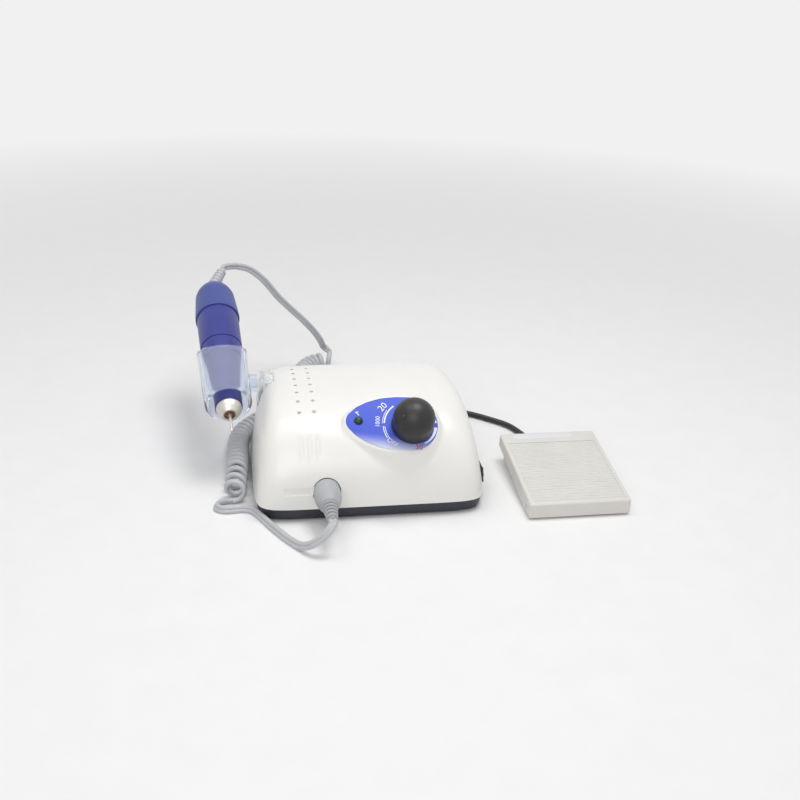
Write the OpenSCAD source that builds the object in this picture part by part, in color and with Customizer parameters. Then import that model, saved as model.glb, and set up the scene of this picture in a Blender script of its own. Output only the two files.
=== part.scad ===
// Nail drill machine: control box with a speed knob, tilting holder, handpiece, curly cord and foot pedal.
// Millimetres, +Z up. The origin lies on the table under the middle of the control box.
// The front looks to -Y.

/* [Control box] */
// Width of the control box at its seam
box_w = 150; // [140:1:170]
// Depth of the control box
box_d = 111; // [106:1:120]
// Height of the white shell above the seam
shell_h = 56.5; // [54:0.5:62]
// How far the crest lies behind the middle of the box
crest_back = 11.5; // [9:0.5:14]
// Length of the sweep behind the crest that the back wall cuts off
back_sweep = 88; // [80:1:100]
// How far each side leans in over the height of the shell
side_lean = 8; // [6:0.5:9]
// How far each side draws in towards the back
back_draw = 1.9; // [1:0.1:3]
// Wall of the shell
wall = 2.4; // [2:0.1:3]
// Height of the base tray
tray_h = 8; // [6:0.5:9]
// Floor of the base tray
tray_floor = 2.2; // [1.8:0.1:3]
// How far the tray draws in towards the table
tray_draw = 2.5; // [2:0.5:5]
// Height of a rubber foot
foot_h = 1; // [1:0.5:4]
// Radius of a rubber foot
foot_r = 6; // [4:0.5:8]

/* [Shell details] */
// Diameter of a vent hole
vent_d = 2.4; // [1.6:0.2:3]
// Distance between the vent holes of one column
vent_pitch = 10.4; // [9:0.1:11]
// Distance between the two columns of vent holes
vent_columns = 9.6; // [8:0.2:12]
// Radius of a flute
flute_r = 1.9; // [1.5:0.1:2.4]
// Distance between the flutes
flute_pitch = 5.2; // [4.8:0.1:6]
// Radius of a screw post in the shell
post_r = 4; // [3.5:0.1:4.5]
// Radius of a case screw
screw_r = 1.5; // [1.2:0.1:2]

/* [Panel and knob] */
// Tilt of the control panel from level
panel_tilt = 36; // [33:0.5:39]
// Height of the panel over the shell at the knob
panel_rise = 2.5; // [2:0.1:4]
// Radius of the panel round the knob
panel_r = 19.4; // [18:0.1:22]
// Distance from the knob to the lamp
lamp_offset = 31.7; // [29:0.1:34]
// Radius of the panel round the lamp
panel_tip_r = 8; // [6:0.2:9]
// Rim of the boss round the panel
boss_rim = 1.4; // [1:0.1:2]
// Thickness of the panel plate
panel_t = 0.5; // [0.4:0.1:1]
// Radius of the speed knob
knob_r = 13.4; // [12:0.1:15]
// Height of the knob's straight skirt
knob_skirt = 9.1; // [7:0.1:10]
// Radius of the indicator lamp
lamp_r = 2.5; // [1.5:0.1:3]
// Radius of the potentiometer's shaft
pot_shaft_r = 3; // [2.5:0.1:3.2]

/* [Sockets and switch] */
// Radius of the handpiece socket
socket_r = 8.8; // [8:0.1:9.4]
// Length of the moulded plug outside the socket
plug_l = 32; // [28:1:36]
// Length of the power switch
switch_l = 19; // [17:0.5:22]
// Height of the power switch
switch_h = 11; // [10:0.5:13]
// Width of the mains inlet's flange
inlet_w = 32; // [31:0.5:36]
// Height of the mains inlet's flange
inlet_h = 24; // [23:0.5:27]
// Radius of the fuse holder's body
fuse_r = 5.5; // [5:0.1:6.5]
// Radius of the pedal jack's bushing
jack_r = 4.5; // [4.4:0.1:5.5]

/* [Holder and handpiece] */
// How far the holder sits behind the middle of the box
holder_y = 30; // [26:1:34]
// Height of the holder's pivot over the table
pivot_z = 58.9; // [57:0.1:62]
// Thickness of the holder bracket's plate
bracket_t = 3.4; // [3:0.1:4]
// Radius of the ribbed arm
arm_r = 6; // [5:0.1:7]
// Length of the ribbed arm
arm_l = 6; // [5:0.5:9]
// Radius of the pivot pin
pivot_r = 3; // [2:0.1:3.4]
// Wall of the cradle at its back
cradle_wall = 3; // [2.6:0.1:3.4]
// Length of the cradle ahead of the pivot
cradle_front = 20.9; // [18:0.1:23]
// Length of the cradle's sides behind the pivot
cradle_back = 35.3; // [33:0.1:37]
// Pitch of the handpiece, nose down
hand_pitch = 15; // [12:0.5:18]
// Turn of the handpiece seen from above
hand_yaw = 3.2; // [0:0.1:5]
// Radius of the handpiece's rear cap
cap_r = 15.75; // [15.2:0.05:16.5]
// Radius of the handpiece's body
grip_r = 14.5; // [14.2:0.1:15]
// Radius of the front collar at the nose
collar_r = 9.1; // [8.8:0.1:9.8]
// Length of the rear cap
cap_l = 44.8; // [42:0.1:48]
// Length of the handpiece's body
grip_l = 34.5; // [32:0.1:36]
// Length of the twist sleeve
sleeve_l = 13.6; // [11:0.1:15]
// Length of the metal nose
nose_l = 7.4; // [6:0.1:9]
// Radius of the bur's shank
bur_r = 1.175; // [1.175:0.001:1.6]
// Radius of the bur's free end
bur_tip_r = 1; // [0.8:0.05:1.15]
// Length of the bur ahead of the nose
bur_out = 15.4; // [12:0.1:20]

/* [Foot pedal] */
// Middle of the pedal to the right of the box's middle
pedal_x = 133.5; // [128:0.5:150]
// Front edge of the pedal ahead of the box's middle
pedal_front = 68; // [60:1:72]
// Width of the pedal
pedal_w = 68.4; // [60:0.2:76]
// Length of the pedal
pedal_l = 83; // [76:1:90]
// Height of the tread at its front edge
tread_front_z = 11.5; // [11:0.5:13]
// Height of the tread at its back edge
tread_back_z = 20.5; // [20:0.5:23]
// Wall of the tread
tread_wall = 2.2; // [1.8:0.1:2.6]
// Height of the pedal's back skirt
skirt_h = 9.5; // [8:0.5:10]
// Floor of the pedal's base
pedal_floor = 2.2; // [1.8:0.1:2.8]
// Height of the pedal's feet
pedal_foot_h = 1; // [0.6:0.1:1.6]
// Radius of the hinge pin
hinge_r = 1.5; // [1.2:0.1:1.8]
// Radius of the return spring
spring_r = 4; // [3:0.2:5]
// Distance between the ribs of the pad
rib_pitch = 2.9; // [2.4:0.1:3.4]

/* [Cords] */
// Diameter of the handpiece cord
cord_d = 3.4; // [3:0.1:3.6]
// Outer diameter of the curls
curl_d = 15; // [14:0.5:17]
// Number of closed curls
curls = 38; // [30:1:39]
// Number of open curls near the plug
open_curls = 3; // [2:1:4]
// Distance between the open curls
open_pitch = 9; // [8:0.5:11]
// Diameter of the pedal cord
pedal_cord_d = 4; // [3.4:0.1:4.2]
// Number of loops in the tied coil
coil_loops = 8; // [6:2:10]
// Radius of the coil's outermost loop, at the middle of the cord
coil_r = 27; // [25:0.5:30]

/* [Hidden] */
$fn = 64;

// Clearances: fixed pieces, running fits, moving pieces and cuts that run past a face
fit = 0.2;
run = 0.05;
free = 0.4;
past = 1;

// Curve of the shell: powers of the front sweep, the back sweep, the plan and the ends
front_power = 2.25;
back_power = 2.3;
plan_power = 10;
end_power = 8;
seam = foot_h + tray_h;
front_sweep = box_d / 2 + crest_back;
lean_angle = atan(side_lean / shell_h);
tray_top = foot_h + tray_floor;
seam_step = 0.5;

// Stations of the shell's skin: across the box, and from the front edge over the crest to the back edge
across = [for (t = [-81:9:81]) sign(t) * pow(abs(sin(t)), 2 / plan_power)];
over = concat([for (a = [0:11.25:90]) a], [100, 108, 117, 138, 160, 180]);

function plan_scale(u) = pow(1 - pow(abs(u), plan_power), 1 / plan_power);
function end_scale(u) = pow(1 - pow(abs(u), end_power), 1 / end_power);
function back_limit(u, inset) = crest_back + (box_d / 2 - crest_back) * end_scale(u) - inset;
function side_x(y, z, inset) =
    box_w / 2 - inset
    - side_lean * (z - seam) / shell_h
    - back_draw * max(0, y - crest_back) / (box_d / 2 - crest_back);
function skin_y(u, a, inset) =
    a <= 90
    ? crest_back - (front_sweep - inset) * plan_scale(u) * pow(cos(a), 2 / front_power)
    : min(back_limit(u, inset),
          crest_back + (back_sweep - inset) * plan_scale(u) * pow(-cos(a), 2 / back_power));
function skin_z(u, a, inset) =
    seam + (shell_h - inset) * end_scale(u) * pow(sin(a), 2 / (a <= 90 ? front_power : back_power));
function skin_point(u, a, inset) =
    let (y = skin_y(u, a, inset), z = skin_z(u, a, inset)) [u * side_x(y, z, inset), y, z];

// Height of the shell over a place ahead of the crest, and depth of the front wall at a height
function top_z(y) =
    seam + shell_h * pow(1 - pow((crest_back - y) / front_sweep, front_power), 1 / front_power);
function front_y(z) =
    crest_back - front_sweep * pow(1 - pow((z - seam) / shell_h, front_power), 1 / front_power);

// Panel: its seat, the egg outline's circles, the boss and the knob's place
panel_x = 23.3;
panel_y = 20.9 - box_d / 2;
panel_seat = [panel_x, panel_y, top_z(panel_y) + panel_rise / cos(panel_tilt)];
knob_off = [2.6, -1.4];
egg_turn = 173.8;
egg_circles = 6;
egg_power = 2.3;
boss_drop = 14;
boss_flare = 5.5;
boss_shift = 4;
boss_wall = 3;
ceiling = 3;
pot_r = 12;
pot_h = 9;
pot_floor = 2 - ceiling - pot_h;
bushing_r = 4.5;
nut_r = 7;
nut_h = 2;
nut_clear = 1;
knob_gap = 0.6;
knob_floor = 5;
shaft_top = 14.5;
pointer_angle = 205;
pointer_off = 9.1;
pointer_r = 1.4;

// Socket and plug on the front wall
socket_x = -30.2;
socket_z = 20.6;
socket_y = front_y(socket_z);
socket_proud = 1.4;
socket_depth = 16;
socket_wall = 1.2;
flange_r = socket_r + 2.2;
flange_t = 2;
flange_back = 4;
plug_nose = 9;
plug_r = socket_r - 0.5;
plug_end_r = 3.6;
plug_ribs = 5;
plug_grip = 9;
plug_taper = 7;

// Switch on the right wall
switch_y = 29 - box_d / 2;
switch_z = 17;
bezel_t = 1;
bezel_lift = 0.5;
switch_depth = 15;
rocker_angle = 8;
rocker_proud = 1.6;
rocker_pivot = -2;
rocker_low = -4.5;
rocker_root = 4;
rocker_pin_r = 1;
rocker_pin_in = 1.2;
rocker_gap = 1;
rocker_dish = 0.9;
switch_margin = 2;
switch_body = [switch_h - switch_margin, switch_l - switch_margin];
switch_rim = 1.7;

// Back wall
back_y = box_d / 2;
rear_z = 27;
inlet_x = -36;
fuse_x = -3;
jack_x = 42;
rear_proud = 2.2;
inlet_depth = 20;
inlet_cavity = [24, 16];
inlet_margin = 4;
inlet_body = [inlet_w - inlet_margin, inlet_h - inlet_margin];
inlet_floor = rear_proud + fit + past + 3 - inlet_depth;
pin_size = [4, 2];
pin_l = 14;
fuse_l = 26;
fuse_rim = 1.6;
fuse_cap = 5.2;
jack_bore = 3.2;
jack_l = 12;
jack_nut_r = 6.4;
jack_block = [14, 16];
jack_floor = 2;
pedal_plug_l = 34;
pedal_plug_r = 5.4;

// Inside
post_front_inset = [21, 10.5];
post_back_inset = [9, 18];
post_front = [box_w / 2 - post_front_inset.x, post_front_inset.y - box_d / 2];
post_back = [box_w / 2 - post_back_inset.x, box_d / 2 - post_back_inset.y];
post_h = 26;
post_places = [for (x = [-1, 1]) for (p = [post_front, post_back]) [x * p.x, p.y]];
foot_inset = [30, 20];
foot_places = [
    for (x = [-1, 1]) for (y = [-1, 1]) [x * (box_w / 2 - foot_inset.x), y * (box_d / 2 - foot_inset.y)]
];
tray_post = 1;
screw_head_r = 2.8;
screw_head_h = 2;
screw_l = 16;
core = [48, 28, 40];
core_inset = [41, 39.5];
core_at = [box_w, box_d] / 2 - core_inset;
core_leg = 8;
winding_gap = 0.4;
core_foot = 8;
core_foot_t = 1.6;
board_gap = 0.5;
board_inset = 17.5;
board_front = board_inset - box_d / 2;
board_back = core_at.y - core.y / 2 - board_gap;
board = [96, board_back - board_front, 1.6];
board_at = [-4, (board_front + board_back) / 2];
standoff_h = 6;
standoff_r = 3;
standoff_inset = 5;
board_z = tray_top + standoff_h;
standoff_places = [
    for (x = [-1, 1]) for (y = [-1, 1])
    board_at + [x * (board.x / 2 - standoff_inset), y * (board.y / 2 - standoff_inset)]
];
cap_body_r = 9;
cap_body_h = 28;
cap_inset = 16;
sink = [30, 14, 24];
sink_fins = 5;
sink_inset = 22;
sink_back = 3;
sink_margin = 2;
sink_y = board_front + sink_margin + sink.y / 2;

// Holder: the bracket follows the plane of the left wall
bracket_w = 14;
bracket_up = 6;
bracket_down = 14;
bracket_proud = 0.8;
bracket_x = -(side_x(holder_y, pivot_z, 0) + bracket_proud);
bracket_top_t = 2.6;
bracket_reach = 9;
peg_r = 1.5;
peg_h = 4.6;
peg_inset = 2.4;
arm_block = 7;
arm_block_w = 2 * arm_r + 1;
arm_gap = free + arm_r * tan(lean_angle);
arm_ribs = 4;
groove = 0.7;

// Handpiece: stations along its axis from the pivot, plus towards the bur
body_back = -72.1;
body_front = body_back + grip_l;
cap_back = body_back - cap_l;
sleeve_front = body_front + sleeve_l;
nose_back = 24.9;
nose_front = nose_back + nose_l;
edge = 0.4;
seam_gap = 0.3;
grip_back_r = grip_r + edge;
sleeve_back_r = grip_r - edge;
sleeve_draw = 1.5;
sleeve_front_r = sleeve_back_r - sleeve_draw;
collar_back_r = sleeve_front_r - seam_gap;
taper_end = 5;
taper_end_r = collar_r + edge;
nose_step = 0.6;
nose_r = collar_r - nose_step;
nose_rim = 1.2;
nose_waist = 3.7;
nose_waist_r = nose_r - 0.8;
nose_tip_r = 4.9;
nose_bore = 3.7;
cap_taper = 1.6;
cap_edge = 0.6;
cradle_fit = 0.45;
cradle_in_back = grip_r + cradle_fit;
cradle_bore_draw = 2.3;
cradle_skin_draw = 2.4;
cradle_in_front = cradle_in_back - cradle_bore_draw;
cradle_out_back = cradle_in_back + cradle_wall;
cradle_out_front = cradle_out_back - cradle_skin_draw;
scoop_slope = 0.8;
cradle_low = cradle_back + scoop_slope * cradle_out_back;
arm_end = bracket_x - arm_gap - arm_l;
arm_sink = 1.8;
hand_x = arm_end - (cradle_out_back + cradle_out_front) / 2 + arm_sink;
hand_at = [hand_x, holder_y, pivot_z];

// Motor and spindle inside the handpiece
can_r = 12.4;
can_t = 1;
can_back = cap_back + 16;
can_front = body_front - 2;
magnet_t = 2.4;
rotor_gap = 0.5;
rotor_l = 28;
rotor_mid = -68;
commutator_r = 4;
commutator_l = 7;
rotor_winding = 4;
shaft_r = 2;
spindle_r = 3;
spindle_clear = 1;
spindle_front = nose_back + 1;
spindle_back = 1.4;
bearing_r = 6.5;
bearing_l = 5;
tail_bearing_r = 5;
tail_bearing_l = 4;
bearing_stations = [body_front + 4, 12];
neck_r = 9;
collet_r = 2.2;
collet_head_r = 3.3;
collet_in = 16;
bur_step = 0.5;

// Relief at the back of the handpiece, bent by the cord's weight
relief_dir = [0.44, 0.17, -0.88];
relief_l = 15;
relief_root = 3.2;
relief_r = 4.7;
relief_tip_r = 3.6;
relief_neck_r = relief_tip_r - 0.3;
relief_ribs = 5;
relief_plug = 6;
cap_bore = relief_tip_r + 0.6;

// Pedal
pedal_back_y = pedal_l - pedal_front;
pad_margin = 3.2;
pad_back = 13;
pad_t = 1.2;
rib_h = 0.8;
rib_w = 1.3;
hinge_y = -pedal_front + 9;
hinge_z = 5.4;
tread_angle = atan((tread_back_z - tread_front_z) / pedal_l);
base_side = tread_wall + 0.7;
base_front = -pedal_front + tread_wall + 0.9;
base_back = pedal_back_y - tread_wall - 3;
base_wall = 2;
base_rim = 7.4;
base_ear_z = 8.6;
tread_low = 0.8;
spring_y = base_back - 14;
spring_wall = 1;
gland_x = 128;
gland_r = 2.9;
gland_step = 0.6;
gland_z = 4.9;
gland_out = 12;
notch_r = 5.2;
notch_top = 16.2;
press_switch = [20, 7, 5.2];
press_switch_y = -22;

// Coil and cords
coil_at = [2, 104];
coil_first = 62;
coil_last = 278;
coil_step = 4.5;
coil_layer = 4.5;
tie_t = 0.8;
tie_w = 6;
tie_angle = 170;
tie_gap = 0.3;
table_gap = 0.1;
coil_low = tie_t + tie_gap + pedal_cord_d / 2;
curl_z = curl_d / 2 + table_gap;
bead = 0.3;
// Part of a turn after which the cord leaves the last curl, under the coil
curl_leave = 0.5;

// Routes of the free cords, as points on the table or in the air
lead_points = [
    [-83, 164.5, 97.3], [-76.5, 168.5, 95.8], [-67, 171.5, 91.6], [-56.5, 173.5, 81.8], [-46.5, 175.5, 68.4],
    [-39.5, 177, 60.5], [-32.5, 178.5, 53], [-25, 180.5, 45], [-18, 183.5, 36.2], [-13, 187, 28.6],
    [-9.8, 190.2, 22.2], [-7.8, 192.8, 17.2], [-4.9, 193.2, 14.3]
];
curl_points = [
    [0, 184], [-9, 183], [-17.5, 178.5], [-24, 170.5], [-28.5, 160], [-32, 147], [-36, 132], [-41.5, 116],
    [-49, 99.5], [-58.5, 85], [-68.5, 72.5], [-77.3, 60.5], [-82, 47], [-83.4, 32], [-83.8, 14], [-85, -4],
    [-86.2, -18], [-87.4, -31]
];
tail_points = [
    [-95.5, -29.8, 2.2], [-98.6, -32.4, 2.4], [-98.4, -36.6, 2.4], [-94.5, -39.4, 2.4], [-89.5, -39.6, 2.4],
    [-84, -39.1, 2.4], [-78.8, -40, 2.4], [-74.6, -43.8, 2.4], [-70.8, -51, 2.4], [-66, -60.8, 2.4],
    [-60.5, -71, 2.4], [-55, -80, 2.4], [-49.5, -87.5, 3.2], [-43.8, -93, 7], [-38, -95.5, 12.3],
    [-33, -94.5, 17.5]
];
jack_points = [[40, 104, 24], [36, 113, 15], [28, 120, 7]];
pedal_points = [
    [20, 78, 5], [32, 81, 2.6], [45, 87, 2.4], [61, 92, 2.4], [78, 92, 2.4], [94, 85, 2.4],
    [108, 74, 2.4], [119, 63, 2.4], [125, 50, 2.4], [127.5, 38, 3.2]
];

// Vector helpers and cords as swept tubes
function unit(v) = v / norm(v);
function heading(path, i) = unit(path[min(i + 1, len(path) - 1)] - path[max(i - 1, 0)]);
function square_to(n, h) = unit(n - (n * h) * h);
function carried(path, first) = [
    for (i = 0, n = first;
         i < len(path);
         i = i + 1, n = square_to(n, heading(path, min(i, len(path) - 1))))
    n
];
function bend(route, steps) = concat(
    [
        for (i = [0:len(route) - 2])
        let (a = route[max(i - 1, 0)], b = route[i], c = route[i + 1], d = route[min(i + 2, len(route) - 1)])
        for (s = [0:steps - 1])
        let (t = s / steps)
        b + 0.5 * t * ((c - a) + t * ((2 * a - 5 * b + 4 * c - d) + t * (3 * b - a - 3 * c + d)))
    ],
    [route[len(route) - 1]]
);
function travelled(path) = [
    for (i = 0, s = 0;
         i < len(path);
         s = s + (i + 1 < len(path) ? norm(path[i + 1] - path[i]) : 0), i = i + 1)
    s
];
function span_at(sums, s, i = 0) = i + 2 >= len(sums) || sums[i + 1] >= s ? i : span_at(sums, s, i + 1);
function along(path, sums, s) =
    let (i = span_at(sums, s), f = (s - sums[i]) / (sums[i + 1] - sums[i]))
    path[i] + (path[i + 1] - path[i]) * f;
function cord_path(start, out, points, end, into, d) = concat(
    [start], bend(concat([start + d * out], points, [end - d * into]), 2), [end]
);
function ease(t) = let (c = min(1, max(0, t))) c * c * (3 - 2 * c);
function least_gap(path, near, far, d) = min([
    for (i = [0:len(path) - 1])
    for (j = [i + near:1:min(i + far, len(path) - 1)])
    norm(path[i] - path[j]) - d
]);

module tube(path, d, sides) {
    last = len(path) - 1;
    first = square_to([0, 0, 1], heading(path, 0));
    sideways = carried(path, first);
    points = [
        for (i = [0:last])
        let (h = heading(path, i), n = square_to(sideways[i], h), b = cross(h, n))
        for (k = [0:sides - 1])
        path[i] + d / 2 * (cos(360 * k / sides) * n + sin(360 * k / sides) * b)
    ];
    skin = [
        for (i = [0:last - 1])
        for (k = [0:sides - 1])
        let (a = i * sides + k, b = i * sides + (k + 1) % sides)
        each [[a, a + sides, b + sides], [a, b + sides, b]]
    ];
    caps = [
        for (k = [1:sides - 2])
        each [[0, k, k + 1], [last * sides, last * sides + k + 1, last * sides + k]]
    ];
    polyhedron(points, concat(skin, caps));
}

// Frames of the tilted pieces
module at_panel() {
    translate(panel_seat) rotate([panel_tilt, 0, 0]) children();
}
module at_knob() {
    at_panel() translate([knob_off.x, knob_off.y, 0]) children();
}
module at_lamp() {
    at_panel() rotate([0, 0, egg_turn]) translate([lamp_offset, 0, 0]) children();
}
module at_socket() {
    translate([socket_x, socket_y, socket_z]) rotate([90, 0, 0]) children();
}
module at_switch() {
    translate([side_x(switch_y, switch_z, 0), switch_y, switch_z]) rotate([0, 90 - lean_angle, 0]) children();
}
module at_rear(x) {
    translate([x, back_y, rear_z]) rotate([-90, 0, 0]) children();
}
module at_hand() {
    translate(hand_at) rotate([90 + hand_pitch, 0, hand_yaw]) children();
}
module at_pivot() {
    translate([bracket_x, holder_y, pivot_z]) rotate([0, -90, 0]) children();
}
module toward(v) {
    rotate([0, acos(v.z / norm(v)), atan2(v.y, v.x)]) children();
}

// Solids that are shared by more than one piece
module block(size, low) {
    translate([-size.x / 2, -size.y / 2, low]) cube(size);
}
module ring(outer, inner, low, high) {
    translate([0, 0, low]) difference() {
        cylinder(r = outer, h = high - low);
        translate([0, 0, -past]) cylinder(r = inner, h = high - low + 2 * past);
    }
}
module turned(points) {
    rotate_extrude() polygon(points);
}
module loft(inset, drop) {
    rings = len(across);
    count = len(over);
    low = seam - drop;
    points = [
        for (u = across) for (a = over)
        let (p = skin_point(u, a, inset))
        [p.x, p.y, a == 0 || a == 180 ? low : p.z]
    ];
    skin = [
        for (j = [0:rings - 2]) for (i = [0:count - 1])
        let (a = j * count + i, b = j * count + (i + 1) % count)
        each [[a, b, b + count], [a, b + count, a + count]]
    ];
    far = (rings - 1) * count;
    caps = [
        for (i = [1:count - 2])
        each [[0, i + 1, i], [far, far + i, far + i + 1]]
    ];
    polyhedron(points, concat(skin, caps));
}
module plan(inset) {
    polygon(concat(
        [for (u = across) let (y = skin_y(u, 0, inset)) [u * side_x(y, seam, inset), y]],
        [for (k = [len(across) - 1:-1:0])
            let (u = across[k], y = skin_y(u, 180, inset)) [u * side_x(y, seam, inset), y]]
    ));
}
module egg(grow) {
    rotate([0, 0, egg_turn]) hull() {
        circle(r = panel_r + grow, $fn = 48);
        for (i = [1:egg_circles - 1])
            let (t = i / (egg_circles - 1))
            translate([t * lamp_offset, 0])
            circle(r = panel_r + grow - (panel_r - panel_tip_r) * pow(t, egg_power), $fn = 32);
    }
}
module boss(sink_in, shrink) {
    at_panel() hull() {
        translate([0, 0, -sink_in - 0.1]) linear_extrude(0.1) egg(boss_rim - shrink);
        translate([0, -boss_shift, -boss_drop]) linear_extrude(0.1) egg(boss_rim + boss_flare - shrink);
    }
}
module at_bracket() {
    translate([bracket_x, holder_y, pivot_z]) rotate([0, lean_angle, 0]) children();
}
module bracket_plate(grow) {
    width = bracket_w + 2 * grow;
    at_bracket() {
        translate([-grow, -width / 2, -bracket_down - grow])
            cube([bracket_t + 2 * grow, width, bracket_down + bracket_up + 2 * grow]);
        translate([-grow, -width / 2, bracket_up - bracket_top_t - grow])
            cube([bracket_reach + 2 * grow, width, bracket_top_t + 2 * grow]);
    }
}

// Control box
module upper_shell() {
    flute_top = 20.3 - box_d / 2;
    flute_end = 37.4;
    flute_lift = 2.1;
    flute_chord = [front_y(flute_end) - flute_top, flute_end - top_z(flute_top)];
    flute_out = flute_lift * [flute_chord.y, -flute_chord.x] / norm(flute_chord);
    flute_x = -39.8;
    vent_x = -40.1;
    vent_first = 34.9 - box_d / 2;
    vent_rows = 7;
    color("white") difference() {
        union() {
            difference() {
                union() {
                    loft(0, 0);
                    boss(0, 0);
                }
                loft(wall, past);
                boss(ceiling, boss_wall);
            }
            for (p = post_places) translate([p.x, p.y, seam]) cylinder(r = post_r, h = post_h);
        }
        for (p = post_places) translate([p.x, p.y, seam - past])
            cylinder(r = screw_r + run, h = screw_l - tray_h + 2 * past);
        at_knob() translate([0, 0, -2 * ceiling]) cylinder(r = bushing_r + fit, h = 3 * ceiling);
        at_lamp() translate([0, 0, -2 * ceiling]) cylinder(r = lamp_r + fit, h = 3 * ceiling);
        for (x = [-1, 1]) for (row = [0:vent_rows - 1])
            translate([vent_x + x * vent_columns / 2, vent_first + row * vent_pitch, seam + shell_h / 2])
            cylinder(d = vent_d, h = shell_h);
        for (i = [-1:1])
            translate([flute_x + i * flute_pitch, flute_top + flute_out.x, top_z(flute_top) + flute_out.y])
            toward([0, flute_chord.x, flute_chord.y])
            translate([0, 0, -past]) cylinder(r = flute_r, h = norm(flute_chord) + 2 * past);
        at_socket() translate([0, 0, -4 * wall]) cylinder(r = socket_r + fit, h = 6 * wall);
        at_switch() block([switch_body.x + fit, switch_body.y + fit, 6 * wall], -4 * wall);
        at_rear(inlet_x) block([inlet_body.x + fit, inlet_body.y + fit, 4 * wall], -2 * wall);
        at_rear(fuse_x) translate([0, 0, -2 * wall]) cylinder(r = fuse_r + fit, h = 4 * wall);
        at_rear(jack_x) translate([0, 0, -2 * wall]) cylinder(r = jack_r + fit, h = 4 * wall);
        bracket_plate(fit);
    }
}
module base_tray() {
    shrink = [1 - 2 * tray_draw / box_w, 1 - 2 * tray_draw / box_d];
    color([0.18, 0.19, 0.23]) difference() {
        union() {
            difference() {
                translate([0, 0, seam]) mirror([0, 0, 1])
                    linear_extrude(tray_h, scale = shrink, slices = 1, segments = 1) plan(seam_step);
                translate([0, 0, tray_top]) linear_extrude(tray_h) plan(tray_draw + wall);
            }
            for (p = post_places) translate([p.x, p.y, foot_h])
                cylinder(r = post_r + tray_post, h = tray_h - fit);
            for (p = standoff_places) translate([p.x, p.y, tray_top - fit])
                cylinder(r = standoff_r, h = standoff_h + fit);
        }
        for (p = post_places) translate([p.x, p.y, foot_h - past]) {
            cylinder(r = screw_r + fit, h = tray_h + 2 * past);
            cylinder(r = screw_head_r + fit, h = screw_head_h + past + fit);
        }
    }
}
module rubber_feet() {
    color("black") for (p = foot_places) translate([p.x, p.y, 0]) cylinder(r = foot_r, h = foot_h);
}
module case_screws() {
    color("silver") for (p = post_places) translate([p.x, p.y, foot_h + fit]) {
        cylinder(r = screw_head_r, h = screw_head_h);
        cylinder(r = screw_r, h = screw_l);
    }
}

// Control panel
module control_panel() {
    color([0.34, 0.43, 0.88]) difference() {
        at_panel() linear_extrude(panel_t) egg(0);
        at_knob() translate([0, 0, -past]) cylinder(r = bushing_r + fit, h = panel_t + 2 * past);
        at_lamp() translate([0, 0, -past]) cylinder(r = lamp_r + fit, h = panel_t + 2 * past);
    }
}
module power_lamp() {
    tail = 2;
    flange = 0.6;
    lead_r = 0.4;
    lead_l = 7;
    lead_off = 1.27;
    base = -ceiling - tail - 1;
    color([0.05, 0.25, 0.18]) at_lamp() {
        translate([0, 0, -ceiling - tail]) cylinder(r = lamp_r, h = ceiling + tail + panel_t);
        translate([0, 0, panel_t]) intersection() {
            sphere(r = lamp_r);
            cylinder(r = lamp_r, h = lamp_r);
        }
        translate([0, 0, base]) cylinder(r = lamp_r + flange, h = tail);
        for (x = [-1, 1]) translate([x * lead_off, 0, base + 1 - lead_l]) cylinder(r = lead_r, h = lead_l);
    }
}
module pot_body() {
    color("silver") at_knob() difference() {
        union() {
            translate([0, 0, -ceiling - pot_h]) cylinder(r = pot_r, h = pot_h);
            translate([0, 0, -ceiling]) cylinder(r = bushing_r, h = ceiling + panel_t + nut_h + past);
        }
        translate([0, 0, pot_floor]) cylinder(r = pot_shaft_r + run, h = shaft_top - pot_floor);
    }
}
module pot_nut() {
    color("silver") at_knob() translate([0, 0, panel_t]) difference() {
        cylinder(r = nut_r, h = nut_h, $fn = 6);
        translate([0, 0, -past]) cylinder(r = bushing_r + run, h = nut_h + 2 * past);
    }
}
module pot_shaft() {
    low = pot_floor + fit;
    color("silver") at_knob() translate([0, 0, low]) cylinder(r = pot_shaft_r, h = shaft_top - low);
}
module speed_knob() {
    low = panel_t + knob_gap;
    dome = sqrt(knob_r * knob_r - pointer_off * pointer_off);
    color([0.08, 0.08, 0.09]) at_knob() difference() {
        union() {
            translate([0, 0, low]) cylinder(r = knob_r, h = knob_skirt);
            intersection() {
                translate([0, 0, low + knob_skirt]) sphere(r = knob_r);
                translate([0, 0, low + knob_skirt]) cylinder(r = knob_r, h = knob_r);
            }
            rotate([0, 0, pointer_angle])
                translate([pointer_off, 0, low + knob_skirt + dome])
                sphere(r = pointer_r);
        }
        translate([0, 0, low - past]) cylinder(r = nut_r + nut_clear, h = knob_floor + past - low);
        translate([0, 0, low]) cylinder(r = pot_shaft_r, h = shaft_top - low);
    }
}

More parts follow.
